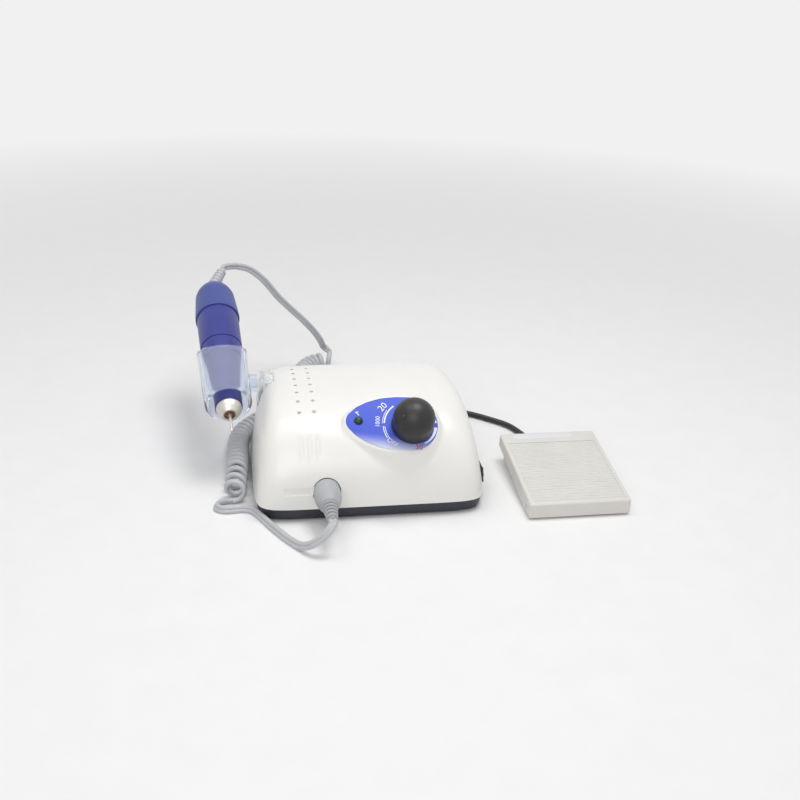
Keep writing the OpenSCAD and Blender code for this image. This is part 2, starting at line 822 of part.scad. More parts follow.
// Handpiece socket and plug
module socket_body() {
    bore = socket_r - socket_wall;
    color([0.75, 0.76, 0.77]) at_socket() difference() {
        union() {
            translate([0, 0, socket_proud - socket_depth]) cylinder(r = socket_r, h = socket_depth);
            translate([0, 0, -wall - flange_back - flange_t]) cylinder(r = flange_r, h = flange_t);
        }
        translate([0, 0, socket_proud - plug_nose - fit]) cylinder(r = bore, h = plug_nose + past + fit);
    }
}
module handpiece_plug() {
    start = socket_proud + fit;
    shoulder = start + plug_grip;
    waist = shoulder + plug_taper;
    end = start + plug_l;
    rib = (end - waist) / (2 * plug_ribs);
    waist_r = 4.9;
    slit = 0.9;
    ribs = [
        for (i = [0:plug_ribs - 1])
        let (z = waist + 2 * rib * i, r = waist_r - (waist_r - plug_end_r) * i / (plug_ribs - 1))
        each [[r, z], [r, z + rib], [r - slit, z + rib], [r - slit, z + 2 * rib]]
    ];
    color([0.70, 0.71, 0.72]) at_socket() turned(concat(
        [
            [0, socket_proud - plug_nose], [socket_r - socket_wall - fit, socket_proud - plug_nose],
            [socket_r - socket_wall - fit, start], [plug_r, start], [plug_r, shoulder]
        ],
        ribs,
        [[0, end]]
    ));
}

// Inside the box
module circuit_board() {
    color([0.05, 0.35, 0.15]) translate([board_at.x, board_at.y, board_z]) block(board, 0);
}
module filter_capacitor() {
    color([0.15, 0.2, 0.4]) translate([board_at.x - board.x / 2 + cap_inset, board_at.y, board_z + board.z])
        cylinder(r = cap_body_r, h = cap_body_h);
}
module heat_sink() {
    fin = sink.x / (2 * sink_fins - 1);
    color("silver") translate([board_at.x + board.x / 2 - sink_inset, sink_y, board_z + board.z]) {
        translate([-sink.x / 2, -sink.y / 2, 0]) cube([sink.x, sink_back, sink.z]);
        for (i = [0:sink_fins - 1])
            translate([-sink.x / 2 + 2 * fin * i, -sink.y / 2, 0]) cube([fin, sink.y, sink.z]);
    }
}
module transformer_core() {
    window = [(core.x - 4 * core_leg) / 2, core.z - 2 * core_leg];
    color([0.35, 0.35, 0.38]) translate([core_at.x, core_at.y, tray_top]) difference() {
        union() {
            block(core, 0);
            block([core.x + 2 * core_foot, core.y, core_foot_t], 0);
        }
        for (x = [-1, 1]) translate([x * (core_leg + window.x / 2), 0, core_leg])
            block([window.x, core.y + 2 * past, window.y], 0);
        for (x = [-1, 1]) translate([x * (core.x + core_foot) / 2, 0, -past])
            cylinder(r = screw_r + fit, h = core_foot_t + 2 * past);
    }
}
module transformer_winding() {
    window = [(core.x - 4 * core_leg) / 2, core.z - 2 * core_leg];
    outer = [core.x - 2 * core_leg - winding_gap, core.y + 2 * window.x, window.y - winding_gap];
    low = tray_top + core_leg + winding_gap / 2;
    color([0.72, 0.38, 0.18]) translate([core_at.x, core_at.y, low]) difference() {
        block(outer, 0);
        translate([0, 0, -past])
            block([2 * core_leg + winding_gap, core.y + winding_gap, outer.z + 2 * past], 0);
    }
}
module transformer_screws() {
    color("silver") for (x = [-1, 1])
        translate([core_at.x + x * (core.x + core_foot) / 2, core_at.y, tray_top + core_foot_t])
        cylinder(r = screw_head_r, h = screw_head_h);
}

// Power switch on the right wall
module switch_housing() {
    hollow = [switch_h - 2 * switch_rim, switch_l - 2 * switch_rim];
    depth = 9;
    color([0.1, 0.1, 0.11]) at_switch() difference() {
        union() {
            block([switch_h, switch_l, bezel_t], bezel_lift);
            block([switch_body.x, switch_body.y, switch_depth], bezel_lift + bezel_t - switch_depth);
        }
        block([hollow.x, hollow.y, depth + past], bezel_t + bezel_lift - depth);
        translate([-switch_h, 0, rocker_pivot]) rotate([0, 90, 0])
            cylinder(r = rocker_pin_r + run, h = 2 * switch_h);
    }
}
module power_rocker() {
    half = switch_l / 2 - switch_rim - rocker_gap;
    deep = switch_h - 2 * switch_rim - 2 * free;
    color([0.12, 0.12, 0.13]) at_switch() translate([0, 0, rocker_pivot]) rotate([-rocker_angle, 0, 0]) {
        translate([deep / 2, 0, 0]) rotate([0, -90, 0]) linear_extrude(deep) polygon([
            [rocker_low - rocker_pivot, -rocker_root], [rocker_low - rocker_pivot, rocker_root],
            [0, half], [rocker_proud - rocker_pivot, half], [rocker_proud - rocker_pivot - rocker_dish, 0],
            [rocker_proud - rocker_pivot, -half], [0, -half]
        ]);
        translate([rocker_pin_in - switch_h / 2, 0, 0]) rotate([0, 90, 0])
            cylinder(r = rocker_pin_r, h = switch_h - 2 * rocker_pin_in);
    }
}

// Back wall
module mains_inlet() {
    color([0.09, 0.09, 0.1]) at_rear(inlet_x) difference() {
        union() {
            block([inlet_w, inlet_h, rear_proud], fit);
            block([inlet_body.x, inlet_body.y, inlet_depth], rear_proud - inlet_depth);
        }
        block([inlet_cavity.x, inlet_cavity.y, inlet_depth], inlet_floor);
    }
}
module inlet_pins() {
    spread = 7;
    line_off = -2;
    earth_off = -5;
    color("silver") at_rear(inlet_x) {
        for (p = [[-spread, line_off], [spread, line_off], [0, earth_off]])
            translate([p.x, p.y, 0]) block([pin_size.y, pin_size.x, pin_l], inlet_floor);
    }
}
module fuse_holder() {
    color([0.1, 0.1, 0.11]) at_rear(fuse_x) {
        translate([0, 0, fit]) cylinder(r = fuse_r + fuse_rim, h = fuse_cap);
        translate([0, 0, -fuse_l]) cylinder(r = fuse_r, h = fuse_l + past);
    }
}
module pedal_jack() {
    color("silver") at_rear(jack_x) difference() {
        union() {
            translate([0, 0, fit]) cylinder(r = jack_nut_r, h = rear_proud, $fn = 6);
            translate([0, 0, -jack_l]) cylinder(r = jack_r, h = jack_l + rear_proud + fit);
            translate([0, 0, -jack_l]) block([jack_block.x, jack_block.y, jack_l - wall - 2 * free], 0);
        }
        translate([0, 0, jack_floor - jack_l]) cylinder(r = jack_bore, h = jack_l + rear_proud + past);
    }
}

// Holder
module holder_bracket() {
    color([0.88, 0.91, 0.93]) union() {
        bracket_plate(0);
        at_bracket() translate([bracket_reach - peg_inset, 0, bracket_up - fit])
            cylinder(r = peg_r, h = peg_h);
        at_pivot() translate([0, 0, -bracket_t / 2])
            cylinder(r = pivot_r, h = bracket_t / 2 + arm_gap + arm_l - fit);
    }
}
module cradle() {
    rib = arm_l / (2 * arm_ribs);
    span = 2 * (cradle_out_back + past);
    color([0.93, 0.95, 0.96]) difference() {
        union() {
            at_hand() turned([
                [0, -cradle_low], [cradle_out_back, -cradle_low],
                [cradle_out_front, cradle_front], [0, cradle_front]
            ]);
            at_pivot() {
                translate([0, 0, arm_gap]) cylinder(r = arm_r - groove, h = arm_l);
                for (i = [0:arm_ribs - 1]) translate([0, 0, arm_gap + 2 * rib * i])
                    cylinder(r = arm_r, h = rib);
                translate([0, 0, arm_gap + arm_l]) block([arm_block_w, arm_block_w, arm_block], 0);
            }
        }
        at_hand() turned([
            [0, -cradle_low - past],
            [cradle_in_back + past * cradle_bore_draw / (cradle_low + cradle_front), -cradle_low - past],
            [cradle_in_front, cradle_front + past / 10], [0, cradle_front + past / 10]
        ]);
        at_hand() translate([0, 0, -cradle_back]) rotate([atan(scoop_slope), 0, 0])
            translate([-span, -2 * span, -2 * span]) cube([2 * span, 4 * span, 2 * span]);
        at_pivot() translate([0, 0, -past]) cylinder(r = pivot_r + run, h = arm_l + arm_gap + past);
    }
}

// Handpiece, outside
module handpiece_cap() {
    dome = 16;
    neck = 6;
    inner = can_r + fit;
    swell = cap_r - cap_taper - neck;
    arc = [for (a = [90:-10:0]) [neck + swell * cos(a), cap_back + dome * (1 - sin(a))]];
    color([0.22, 0.25, 0.58]) at_hand() turned(concat(
        [[cap_bore, cap_back + relief_plug], [cap_bore, cap_back]],
        arc,
        [
            [cap_r, body_back - seam_gap - cap_edge], [cap_r - cap_edge, body_back - seam_gap],
            [inner, body_back - seam_gap], [inner, can_back], [cap_bore, can_back]
        ]
    ));
}
module handpiece_body() {
    inner = can_r + fit;
    color([0.22, 0.25, 0.58]) at_hand() turned([
        [inner, body_back], [grip_back_r - edge, body_back], [grip_back_r, body_back + edge],
        [grip_r, body_front - edge], [grip_r - edge, body_front], [neck_r + fit, body_front],
        [neck_r + fit, can_front + fit], [inner, can_front + fit]
    ]);
}
module twist_sleeve() {
    low = body_front + seam_gap;
    high = sleeve_front - seam_gap;
    color([0.22, 0.25, 0.58]) at_hand() turned([
        [neck_r + run, low], [sleeve_back_r - edge, low], [sleeve_back_r, low + edge],
        [sleeve_front_r, high], [neck_r + run, high]
    ]);
}
module front_collar() {
    bore = spindle_r + spindle_clear;
    color([0.22, 0.25, 0.58]) at_hand() difference() {
        turned([
            [bore, can_front + fit], [neck_r, can_front + fit], [neck_r, sleeve_front],
            [collar_back_r, sleeve_front],
            [taper_end_r, taper_end], [collar_r, nose_back], [bore, nose_back]
        ]);
        translate([0, 0, can_front]) cylinder(r = bearing_r, h = bearing_stations[0] + bearing_l - can_front);
        translate([0, 0, bearing_stations[1]]) cylinder(r = bearing_r, h = nose_back);
    }
}
module metal_nose() {
    stub = nose_back - bearing_stations[1] - bearing_l;
    color([0.72, 0.73, 0.74]) at_hand() turned([
        [nose_bore, nose_back - stub], [bearing_r, nose_back - stub], [bearing_r, nose_back],
        [nose_r, nose_back],
        [nose_r, nose_back + nose_rim], [nose_waist_r, nose_back + nose_waist],
        [nose_tip_r + edge, nose_front - edge],
        [nose_tip_r, nose_front], [nose_bore, nose_front]
    ]);
}

// Handpiece, inside
module motor_can() {
    hub = 3;
    lip = can_back + can_t + hub;
    hole = neck_r - 2;
    color([0.55, 0.56, 0.58]) at_hand() turned([
        [shaft_r + spindle_clear, can_back], [can_r, can_back], [can_r, can_front], [hole, can_front],
        [hole, can_front - can_t], [can_r - can_t, can_front - can_t], [can_r - can_t, lip],
        [tail_bearing_r + can_t, lip], [tail_bearing_r + can_t, lip + can_t], [tail_bearing_r, lip + can_t],
        [tail_bearing_r, can_back + can_t], [shaft_r + spindle_clear, can_back + can_t]
    ]);
}
module motor_magnets() {
    outer = can_r - can_t;
    keep = 0.7;
    color([0.3, 0.3, 0.32]) at_hand() difference() {
        ring(outer, outer - magnet_t, rotor_mid - rotor_l / 2, rotor_mid + rotor_l / 2);
        for (y = [-1, 1]) translate([0, y * outer, rotor_mid])
            block([2 * outer, 2 * outer * (1 - keep), rotor_l + 2 * past], -rotor_l / 2 - past);
    }
}
module brush_holder() {
    low = rotor_mid - rotor_l / 2 - rotor_winding - commutator_l;
    height = 3;
    color([0.5, 0.3, 0.2]) at_hand() ring(can_r - can_t, commutator_r + free, low, low + height);
}
module rotor() {
    back = rotor_mid - rotor_l / 2;
    color([0.6, 0.35, 0.2]) at_hand() {
        ring(can_r - can_t - magnet_t - rotor_gap, shaft_r, back, back + rotor_l);
        ring(commutator_r, shaft_r, back - commutator_l - rotor_winding, back);
    }
}
module spindle() {
    back = can_back + can_t + spindle_back;
    step = bearing_stations[0] - past;
    color("silver") at_hand() difference() {
        turned([
            [0, back], [shaft_r, back], [shaft_r, step], [spindle_r, step],
            [spindle_r, spindle_front], [0, spindle_front]
        ]);
        translate([0, 0, spindle_front - collet_in]) cylinder(r = collet_r, h = collet_in + past);
    }
}
module bearings() {
    low = can_back + can_t;
    color("silver") at_hand() {
        ring(tail_bearing_r, shaft_r + run, low, low + tail_bearing_l);
        for (s = bearing_stations) ring(bearing_r, spindle_r + run, s, s + bearing_l);
    }
}
module collet() {
    front = spindle_front;
    head = 1.6;
    color([0.45, 0.38, 0.3]) at_hand() difference() {
        union() {
            translate([0, 0, front - collet_in]) cylinder(r = collet_r, h = collet_in + fit);
            translate([0, 0, front + fit / 2]) cylinder(r = collet_head_r, h = nose_l - head);
        }
        translate([0, 0, front - collet_in - past]) cylinder(r = bur_r, h = collet_in + nose_l + 2 * past);
    }
}
module bur() {
    back = spindle_front + past - collet_in;
    step = nose_front + bur_step;
    point = [0.4, 1];
    tip = nose_front + bur_out;
    color("silver") at_hand() turned([
        [0, back], [bur_r, back], [bur_r, step], [bur_tip_r, step], [bur_tip_r, tip - point.y],
        [bur_tip_r - point.x, tip], [0, tip]
    ]);
}
module handpiece_relief() {
    rib = relief_l / (2 * relief_ribs);
    step = (relief_r - relief_tip_r) / (relief_ribs - 1);
    deep = 0.8;
    color([0.62, 0.64, 0.67]) at_hand() {
        translate([0, 0, cap_back - fit]) cylinder(r = relief_tip_r, h = relief_plug);
        translate([0, 0, cap_back]) toward(relief_dir) {
            sphere(r = relief_tip_r);
            cylinder(r = relief_neck_r, h = relief_root + fit);
            translate([0, 0, relief_root]) turned(concat(
                [[0, 0]],
                [
                    for (i = [0:relief_ribs - 1])
                    let (z = 2 * rib * i, r = relief_r - step * i)
                    each [[r, z], [r, z + rib], [r - deep, z + rib], [r - deep, z + 2 * rib]]
                ],
                [[0, relief_l]]
            ));
        }
    }
}

// Free cords of the handpiece
function turn_x(v, a) = [v.x, v.y * cos(a) - v.z * sin(a), v.y * sin(a) + v.z * cos(a)];
function turn_z(v, a) = [v.x * cos(a) - v.y * sin(a), v.x * sin(a) + v.y * cos(a), v.z];
function from_hand(p) = hand_at + turn_z(turn_x(p, 90 + hand_pitch), hand_yaw);
relief_end = from_hand([0, 0, cap_back] + unit(relief_dir) * (relief_root + relief_l + bead));
relief_out = unit(relief_end - from_hand([0, 0, cap_back]));
curl_base = bend([for (p = curl_points) [p.x, p.y, curl_z]], 6);
curl_sums = travelled(curl_base);
curl_length = curl_sums[len(curl_sums) - 1];
loose_turns = 1 + open_curls + curl_leave;
curl_turns = curls + loose_turns;
closed_pitch = (curl_length - 2 * cord_d - loose_turns * open_pitch) / curls;
curl_r = (curl_d - cord_d) / 2;
curl_rings = 8;
function curl_reach(turn) =
    let (closed = min(max(turn - 1, 0), curls))
    cord_d + closed * closed_pitch + (turn - closed) * open_pitch;
function curl_center(turn) =
    let (
        s = curl_reach(turn),
        c = along(curl_base, curl_sums, s),
        ahead = along(curl_base, curl_sums, min(s + cord_d, curl_length)),
        h = unit(ahead - along(curl_base, curl_sums, max(s - cord_d, 0)))
    )
    c + curl_r * (cos(360 * turn) * [0, 0, 1] + sin(360 * turn) * cross([0, 0, 1], h));
curl_in = unit(curl_center(0.01) - curl_center(-0.01));
curl_out = unit(curl_center(curl_turns + 0.01) - curl_center(curl_turns - 0.01));
curl_path = concat(
    [curl_center(0) - cord_d / 2 * curl_in],
    [for (k = [0:curl_rings * curl_turns]) curl_center(k / curl_rings)],
    [curl_center(curl_turns) + cord_d / 2 * curl_out]
);
plug_end_y = socket_y - socket_proud - fit - plug_l;

module handpiece_lead() {
    path = cord_path(relief_end, relief_out, lead_points, curl_path[0] - bead * curl_in, curl_in, cord_d);
    color([0.78, 0.80, 0.82]) tube(path, cord_d, 8);
}
module curly_cord() {
    half = curl_rings / 2;
    echo(curly_cord_gap = least_gap(curl_path, half + 1, 5 * half, cord_d), pitch = closed_pitch);
    color([0.78, 0.80, 0.82]) tube(curl_path, cord_d, 6);
}
module plug_tail() {
    start = curl_path[len(curl_path) - 1] + bead * curl_out;
    end = [socket_x, plug_end_y - bead, socket_z];
    path = cord_path(start, curl_out, tail_points, end, [0, 1, 0], cord_d);
    color([0.78, 0.80, 0.82]) tube(path, cord_d, 8);
}

// Foot pedal
module at_pedal() {
    translate([pedal_x, 0, 0]) children();
}
module across_pedal(width) {
    at_pedal() translate([-width / 2, 0, 0]) rotate([90, 0, 90]) linear_extrude(width) children();
}
module hinge_hole(r) {
    at_pedal() translate([-pedal_w, hinge_y, hinge_z]) rotate([0, 90, 0]) cylinder(r = r, h = 2 * pedal_w);
}
function tread_z(y) = tread_front_z + (y + pedal_front) * tan(tread_angle);

module pedal_base() {
    outer = pedal_w - 2 * base_side;
    inner = outer - 2 * base_wall;
    floor_z = pedal_foot_h + pedal_floor;
    ear = 4;
    ramp = 3;
    rise = 1;
    color([0.72, 0.71, 0.69]) difference() {
        across_pedal(outer) polygon([
            [base_front, pedal_foot_h], [base_front, base_rim], [hinge_y - ear, base_ear_z],
            [hinge_y + ear, base_ear_z], [hinge_y + ear + ramp, base_rim], [base_back, base_rim + rise],
            [base_back, pedal_foot_h]
        ]);
        at_pedal() translate([-inner / 2, base_front + base_wall, floor_z])
            cube([inner, base_back - base_front - 2 * base_wall, tread_back_z]);
        hinge_hole(hinge_r + run);
        translate([gland_x, base_back - 2 * base_wall, gland_z]) rotate([-90, 0, 0])
            cylinder(r = gland_r - gland_step + fit, h = 4 * base_wall);
    }
}
module pedal_feet() {
    inset = 9;
    foot = 4;
    color("black") at_pedal() for (x = [-1, 1]) for (y = [base_front + inset, base_back - inset])
        translate([x * (pedal_w / 2 - inset - base_side), y, 0]) cylinder(r = foot, h = pedal_foot_h);
}
module pedal_tread() {
    inner = pedal_w - 2 * tread_wall;
    front = -pedal_front;
    back = pedal_back_y;
    soft = 1.2;
    hip = hinge_y + 6;
    color([0.85, 0.84, 0.82]) difference() {
        across_pedal(pedal_w) polygon([
            [front, tread_low], [front, tread_front_z - soft], [front + soft, tread_z(front + soft)],
            [back - soft, tread_z(back - soft)], [back, tread_back_z - soft], [back, tread_back_z - skirt_h],
            [hip, tread_low]
        ]);
        across_pedal(inner) polygon([
            [front + tread_wall, -past],
            [front + tread_wall, tread_z(front + tread_wall) - tread_wall - pad_t],
            [back - tread_wall, tread_z(back - tread_wall) - tread_wall - pad_t], [back - tread_wall, -past]
        ]);
        across_pedal(pedal_w - 2 * pad_margin + fit) polygon([
            [front + pad_margin - fit, tread_z(front + pad_margin - fit) - pad_t],
            [back - pad_back + fit, tread_z(back - pad_back + fit) - pad_t],
            [back - pad_back + fit, tread_back_z + past], [front + pad_margin - fit, tread_back_z + past]
        ]);
        hinge_hole(hinge_r + run);
        hull() for (z = [0, notch_top - notch_r])
            translate([gland_x, back - 2 * tread_wall, z]) rotate([-90, 0, 0])
            cylinder(r = notch_r, h = 4 * tread_wall, $fn = 32);
    }
}
module tread_pad() {
    from = -pedal_front + pad_margin;
    to = pedal_back_y - pad_back;
    ribs = floor((to - from) / rib_pitch);
    start = from + ((to - from) - (ribs - 1) * rib_pitch) / 2;
    comb = [
        for (i = [0:ribs - 1])
        let (y = start + i * rib_pitch)
        each [
            [y - rib_w / 2, tread_z(y - rib_w / 2) - rib_h], [y - rib_w / 2, tread_z(y)],
            [y + rib_w / 2, tread_z(y)], [y + rib_w / 2, tread_z(y + rib_w / 2) - rib_h]
        ]
    ];
    color([0.80, 0.79, 0.77]) across_pedal(pedal_w - 2 * pad_margin) polygon(concat(
        [[from, tread_z(from) - pad_t], [from, tread_z(from) - rib_h]],
        comb,
        [[to, tread_z(to) - rib_h], [to, tread_z(to) - pad_t]]
    ));
}
module hinge_pin() {
    length = pedal_w - past;
    color("silver") at_pedal() translate([-length / 2, hinge_y, hinge_z]) rotate([0, 90, 0])
        cylinder(r = hinge_r, h = length);
}
module pedal_spring() {
    low = pedal_foot_h + pedal_floor + fit;
    high = tread_z(spring_y - spring_r) - tread_wall - pad_t - fit;
    color("silver") at_pedal() translate([0, spring_y, 0]) ring(spring_r, spring_r - spring_wall, low, high);
}
module pedal_switch() {
    button = [4, 2, 1];
    color([0.1, 0.1, 0.11]) at_pedal() translate([0, press_switch_y, pedal_foot_h + pedal_floor]) {
        block(press_switch, 0);
        translate([0, 0, press_switch.z]) block([button.x, button.y, button.z], 0);
    }
}
module pedal_gland() {
    color("black") translate([gland_x, base_back, gland_z]) rotate([-90, 0, 0]) {
        translate([0, 0, -base_wall - past]) cylinder(r = gland_r - gland_step, h = base_wall + 2 * past);
        translate([0, 0, fit]) cylinder(r = gland_r, h = gland_out);
    }
}

// Free cord of the pedal
module pedal_plug() {
    low = rear_proud + 2 * fit;
    pin = 2 * fit + jack_floor - jack_l;
    taper = 10;
    sleeve = 0.8;
    color([0.1, 0.1, 0.11]) at_rear(jack_x) turned([
        [0, pin], [jack_bore - fit, pin], [jack_bore - fit, low], [pedal_plug_r, low],
        [pedal_plug_r, low + pedal_plug_l - taper], [pedal_cord_d / 2 + sleeve, low + pedal_plug_l],
        [0, low + pedal_plug_l]
    ]);
}
jack_end = [jack_x, back_y + rear_proud + 2 * fit + pedal_plug_l, rear_z];
loop_rings = 24;
coil_turns = coil_loops + (coil_last - coil_first) / 360 - 1;
coil_half = coil_turns / 2;
function coil_pos(turn) =
    let (
        inward = turn <= coil_half ? turn : coil_turns - turn,
        r = coil_r - coil_step * min(inward, coil_half),
        a = coil_first + 360 * turn,
        z = coil_low + coil_layer * ease((turn - coil_half + 0.25) / 0.5)
    )
    [coil_at.x + r * cos(a), coil_at.y + r * sin(a), z];
coil_in = unit(coil_pos(0.01) - coil_pos(0));
coil_out = unit(coil_pos(coil_turns) - coil_pos(coil_turns - 0.01));
coil_path = concat(
    [coil_pos(0) - pedal_cord_d * coil_in],
    [for (k = [0:floor(coil_turns * loop_rings)]) coil_pos(k / loop_rings)],
    [coil_pos(coil_turns) + bead * coil_out, coil_pos(coil_turns) + pedal_cord_d * coil_out]
);
module jack_cord() {
    end = coil_path[0] - bead * coil_in;
    path = cord_path(jack_end + [0, bead, 0], [0, 1, 0], jack_points, end, coil_in, pedal_cord_d);
    color([0.08, 0.08, 0.09]) tube(path, pedal_cord_d, 10);
}
module pedal_coil() {
    half = loop_rings / 2;
    echo(pedal_coil_gap = least_gap(coil_path, half + 1, len(coil_path), pedal_cord_d), turns = coil_turns);
    color([0.08, 0.08, 0.09]) tube(coil_path, pedal_cord_d, 6);
}
module coil_tie() {
    inner_r = coil_r - coil_step * coil_half - pedal_cord_d / 2 - tie_gap;
    outer_r = coil_r + pedal_cord_d / 2 + tie_gap;
    top = coil_low + coil_layer + pedal_cord_d / 2 + tie_gap;
    color("white") translate([coil_at.x, coil_at.y, 0]) rotate([0, 0, tie_angle]) difference() {
        translate([inner_r - tie_t, -tie_w / 2, 0]) cube([outer_r - inner_r + 2 * tie_t, tie_w, top + tie_t]);
        translate([inner_r, -tie_w, tie_t]) cube([outer_r - inner_r, 2 * tie_w, top - tie_t]);
    }
}
module pedal_cord() {
    last = len(coil_path) - 1;
    gland_end = [gland_x, base_back + fit + gland_out, gland_z];
    start = coil_path[last] + bead * coil_out;
    path = cord_path(start, coil_out, pedal_points, gland_end + [0, bead, 0], [0, -1, 0], pedal_cord_d);
    color([0.08, 0.08, 0.09]) tube(path, pedal_cord_d, 10);
}

upper_shell();
base_tray();
rubber_feet();
case_screws();
control_panel();
power_lamp();
pot_body();
pot_nut();
pot_shaft();
speed_knob();
socket_body();
handpiece_plug();
circuit_board();
filter_capacitor();
heat_sink();
transformer_core();
transformer_winding();
transformer_screws();
switch_housing();
power_rocker();
mains_inlet();
inlet_pins();
fuse_holder();
pedal_jack();
holder_bracket();
cradle();
handpiece_cap();
handpiece_body();
twist_sleeve();
front_collar();
metal_nose();
motor_can();
motor_magnets();
brush_holder();
rotor();
spindle();
bearings();
collet();
bur();
handpiece_relief();
handpiece_lead();
curly_cord();
plug_tail();
pedal_base();
pedal_feet();
pedal_tread();
tread_pad();
hinge_pin();
pedal_spring();
pedal_switch();
pedal_gland();
pedal_plug();
jack_cord();
pedal_coil();
coil_tie();
pedal_cord();
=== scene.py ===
"""The looks of a nail drill machine: its control box, handpiece and holder, cords and foot pedal.

Sizes are in millimetres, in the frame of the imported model, where nothing else is said; MM is one in metres.
"""

import math

import bmesh
import bpy
import numpy as np
from mathutils import Matrix, Vector


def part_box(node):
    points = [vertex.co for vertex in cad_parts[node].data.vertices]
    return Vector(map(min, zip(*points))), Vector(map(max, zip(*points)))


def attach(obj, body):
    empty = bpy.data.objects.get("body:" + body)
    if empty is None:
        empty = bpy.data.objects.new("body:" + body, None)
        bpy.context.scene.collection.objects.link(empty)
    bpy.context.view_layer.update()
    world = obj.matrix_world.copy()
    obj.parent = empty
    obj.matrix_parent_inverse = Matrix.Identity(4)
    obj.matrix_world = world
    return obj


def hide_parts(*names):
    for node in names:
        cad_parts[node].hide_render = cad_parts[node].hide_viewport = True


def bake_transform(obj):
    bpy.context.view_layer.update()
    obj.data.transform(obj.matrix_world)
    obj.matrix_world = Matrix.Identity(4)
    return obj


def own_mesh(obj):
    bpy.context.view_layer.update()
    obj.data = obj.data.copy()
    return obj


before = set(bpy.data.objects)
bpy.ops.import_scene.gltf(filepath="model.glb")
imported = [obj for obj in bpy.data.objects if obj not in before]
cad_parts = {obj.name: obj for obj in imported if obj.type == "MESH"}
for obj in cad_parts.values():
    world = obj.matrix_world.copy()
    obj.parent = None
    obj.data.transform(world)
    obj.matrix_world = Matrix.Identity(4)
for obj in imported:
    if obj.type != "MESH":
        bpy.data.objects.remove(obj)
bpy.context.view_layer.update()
MM = 0.001
UP = np.array([0.0, 0.0, 1.0])

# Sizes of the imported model; CAP_SHORT, ARM_RIB_H, SOCKET_FACE and TRAY_DRAW are of the looks alone
FIT = 0.2
BOX_W, BOX_D, SHELL_H = 150, 111, 56.5
CREST_BACK, FRONT_SWEEP, BACK_SWEEP = 11.5, 67, 88
SIDE_LEAN, BACK_DRAW, WALL = 8, 1.9, 2.4
FRONT_POWER, BACK_POWER, PLAN_POWER, END_POWER = 2.25, 2.3, 10, 8
FOOT_H, TRAY_H, TRAY_FLOOR, TRAY_DRAW, SEAM_STEP = 1, 8, 2.2, 1.4, 0.5
SEAM = FOOT_H + TRAY_H
BACK_Y = BOX_D / 2
LEAN = math.atan(SIDE_LEAN / SHELL_H)
POSTS = [(x * 54, -45) for x in (-1, 1)] + [(x * 66, 37.5) for x in (-1, 1)]
POST_R, POST_H = 4, 26
SCREW_R, SCREW_HEAD_R, SCREW_HEAD_H = 1.5, 2.8, 2
PANEL_SEAT, PANEL_TILT, PANEL_T = (23.3, -34.6, 56.06), math.radians(36), 0.5
EGG_TURN = math.radians(173.8)
PANEL_R, PANEL_TIP_R, LAMP_OFFSET, EGG_POWER = 19.4, 8, 31.7, 2.3
EGG = [
    (LAMP_OFFSET * t, PANEL_R - (PANEL_R - PANEL_TIP_R) * t ** EGG_POWER) for t in np.linspace(0, 1, 6)
]
BOSS_RIM, BOSS_DROP, BOSS_FLARE, BOSS_SHIFT = 1.4, 14, 5.5, 4
KNOB_OFF, KNOB_R, KNOB_SKIRT, KNOB_LOW = (2.6, -1.4), 13.4, 9.1, 1.1
POINTER_ANGLE, POINTER_OFF, POINTER_R = math.radians(205), 9.1, 1.4
BUSHING_R, LAMP_R = 4.5, 2.5
SOCKET_X, SOCKET_Z, SOCKET_R, SOCKET_PROUD = -30.2, 20.6, 8.8, 1.4
PLUG_L, PLUG_R, PLUG_GRIP, PLUG_TAPER, PLUG_WAIST_R, PLUG_END_R = 32, 8.3, 9, 7, 4.9, 3.6
PLUG_NOSE, PLUG_RIBS, SOCKET_FACE = 9, 5, -2.4
SWITCH_Y, SWITCH_Z, SWITCH_BODY = -26.5, 17, (9, 17)
REAR_Z, INLET_X, FUSE_X, JACK_X = 27, -36, -3, 42
INLET_BODY, FUSE_R, JACK_R, REAR_PROUD = (28, 20), 5.5, 4.5, 2.2
BRACKET_X, HOLDER_Y, PIVOT_Z = -67.936, 30, 58.9
BRACKET_W, BRACKET_UP, BRACKET_DOWN, BRACKET_T, BRACKET_TOP_T, BRACKET_REACH = 14, 6, 14, 3.4, 2.6, 9
ARM_R, ARM_L, ARM_GAP, ARM_RIBS, ARM_RIB_H = 6, 6, 1.25, 16, 0.7
ARM_BLOCK, ARM_BLOCK_W, PIVOT_R = 7, 13, 3
HAND_AT, HAND_PITCH, HAND_YAW = (-90.135, 30, 58.9), math.radians(105), math.radians(3.2)
CAP_BACK, BODY_BACK, BODY_FRONT, SLEEVE_FRONT = -116.9, -72.1, -37.6, -24.0
TAPER_END, NOSE_BACK, NOSE_FRONT = 5, 24.9, 32.3
CRADLE_FRONT, CRADLE_BACK, CRADLE_SLOPE, CRADLE_LOW = 20.9, 35.3, 0.8, 49.66
CRADLE_IN, CRADLE_OUT = (14.95, 12.65), (17.95, 15.55)
RELIEF_DIR = (0.44, 0.17, -0.88)
RELIEF_ROOT, RELIEF_L, RELIEF_R, RELIEF_TIP_R, RELIEF_RIBS, CAP_SHORT = 3.2, 15, 4.7, 3.6, 6, 4.5
PEDAL_X, PEDAL_W, PEDAL_FRONT, PEDAL_BACK = 133.5, 68.4, -68, 15
TREAD_FRONT_Z, TREAD_BACK_Z, TREAD_WALL, TREAD_LOW, SKIRT_H = 11.5, 20.5, 2.2, 0.8, 9.5
PAD_MARGIN, PAD_BACK, PAD_T, RIB_PITCH, RIB_H, RIB_W = 3.2, 13, 1.2, 2.9, 0.16, 1.7
HINGE_Y, HINGE_Z, HINGE_R = -59, 5.4, 1.5
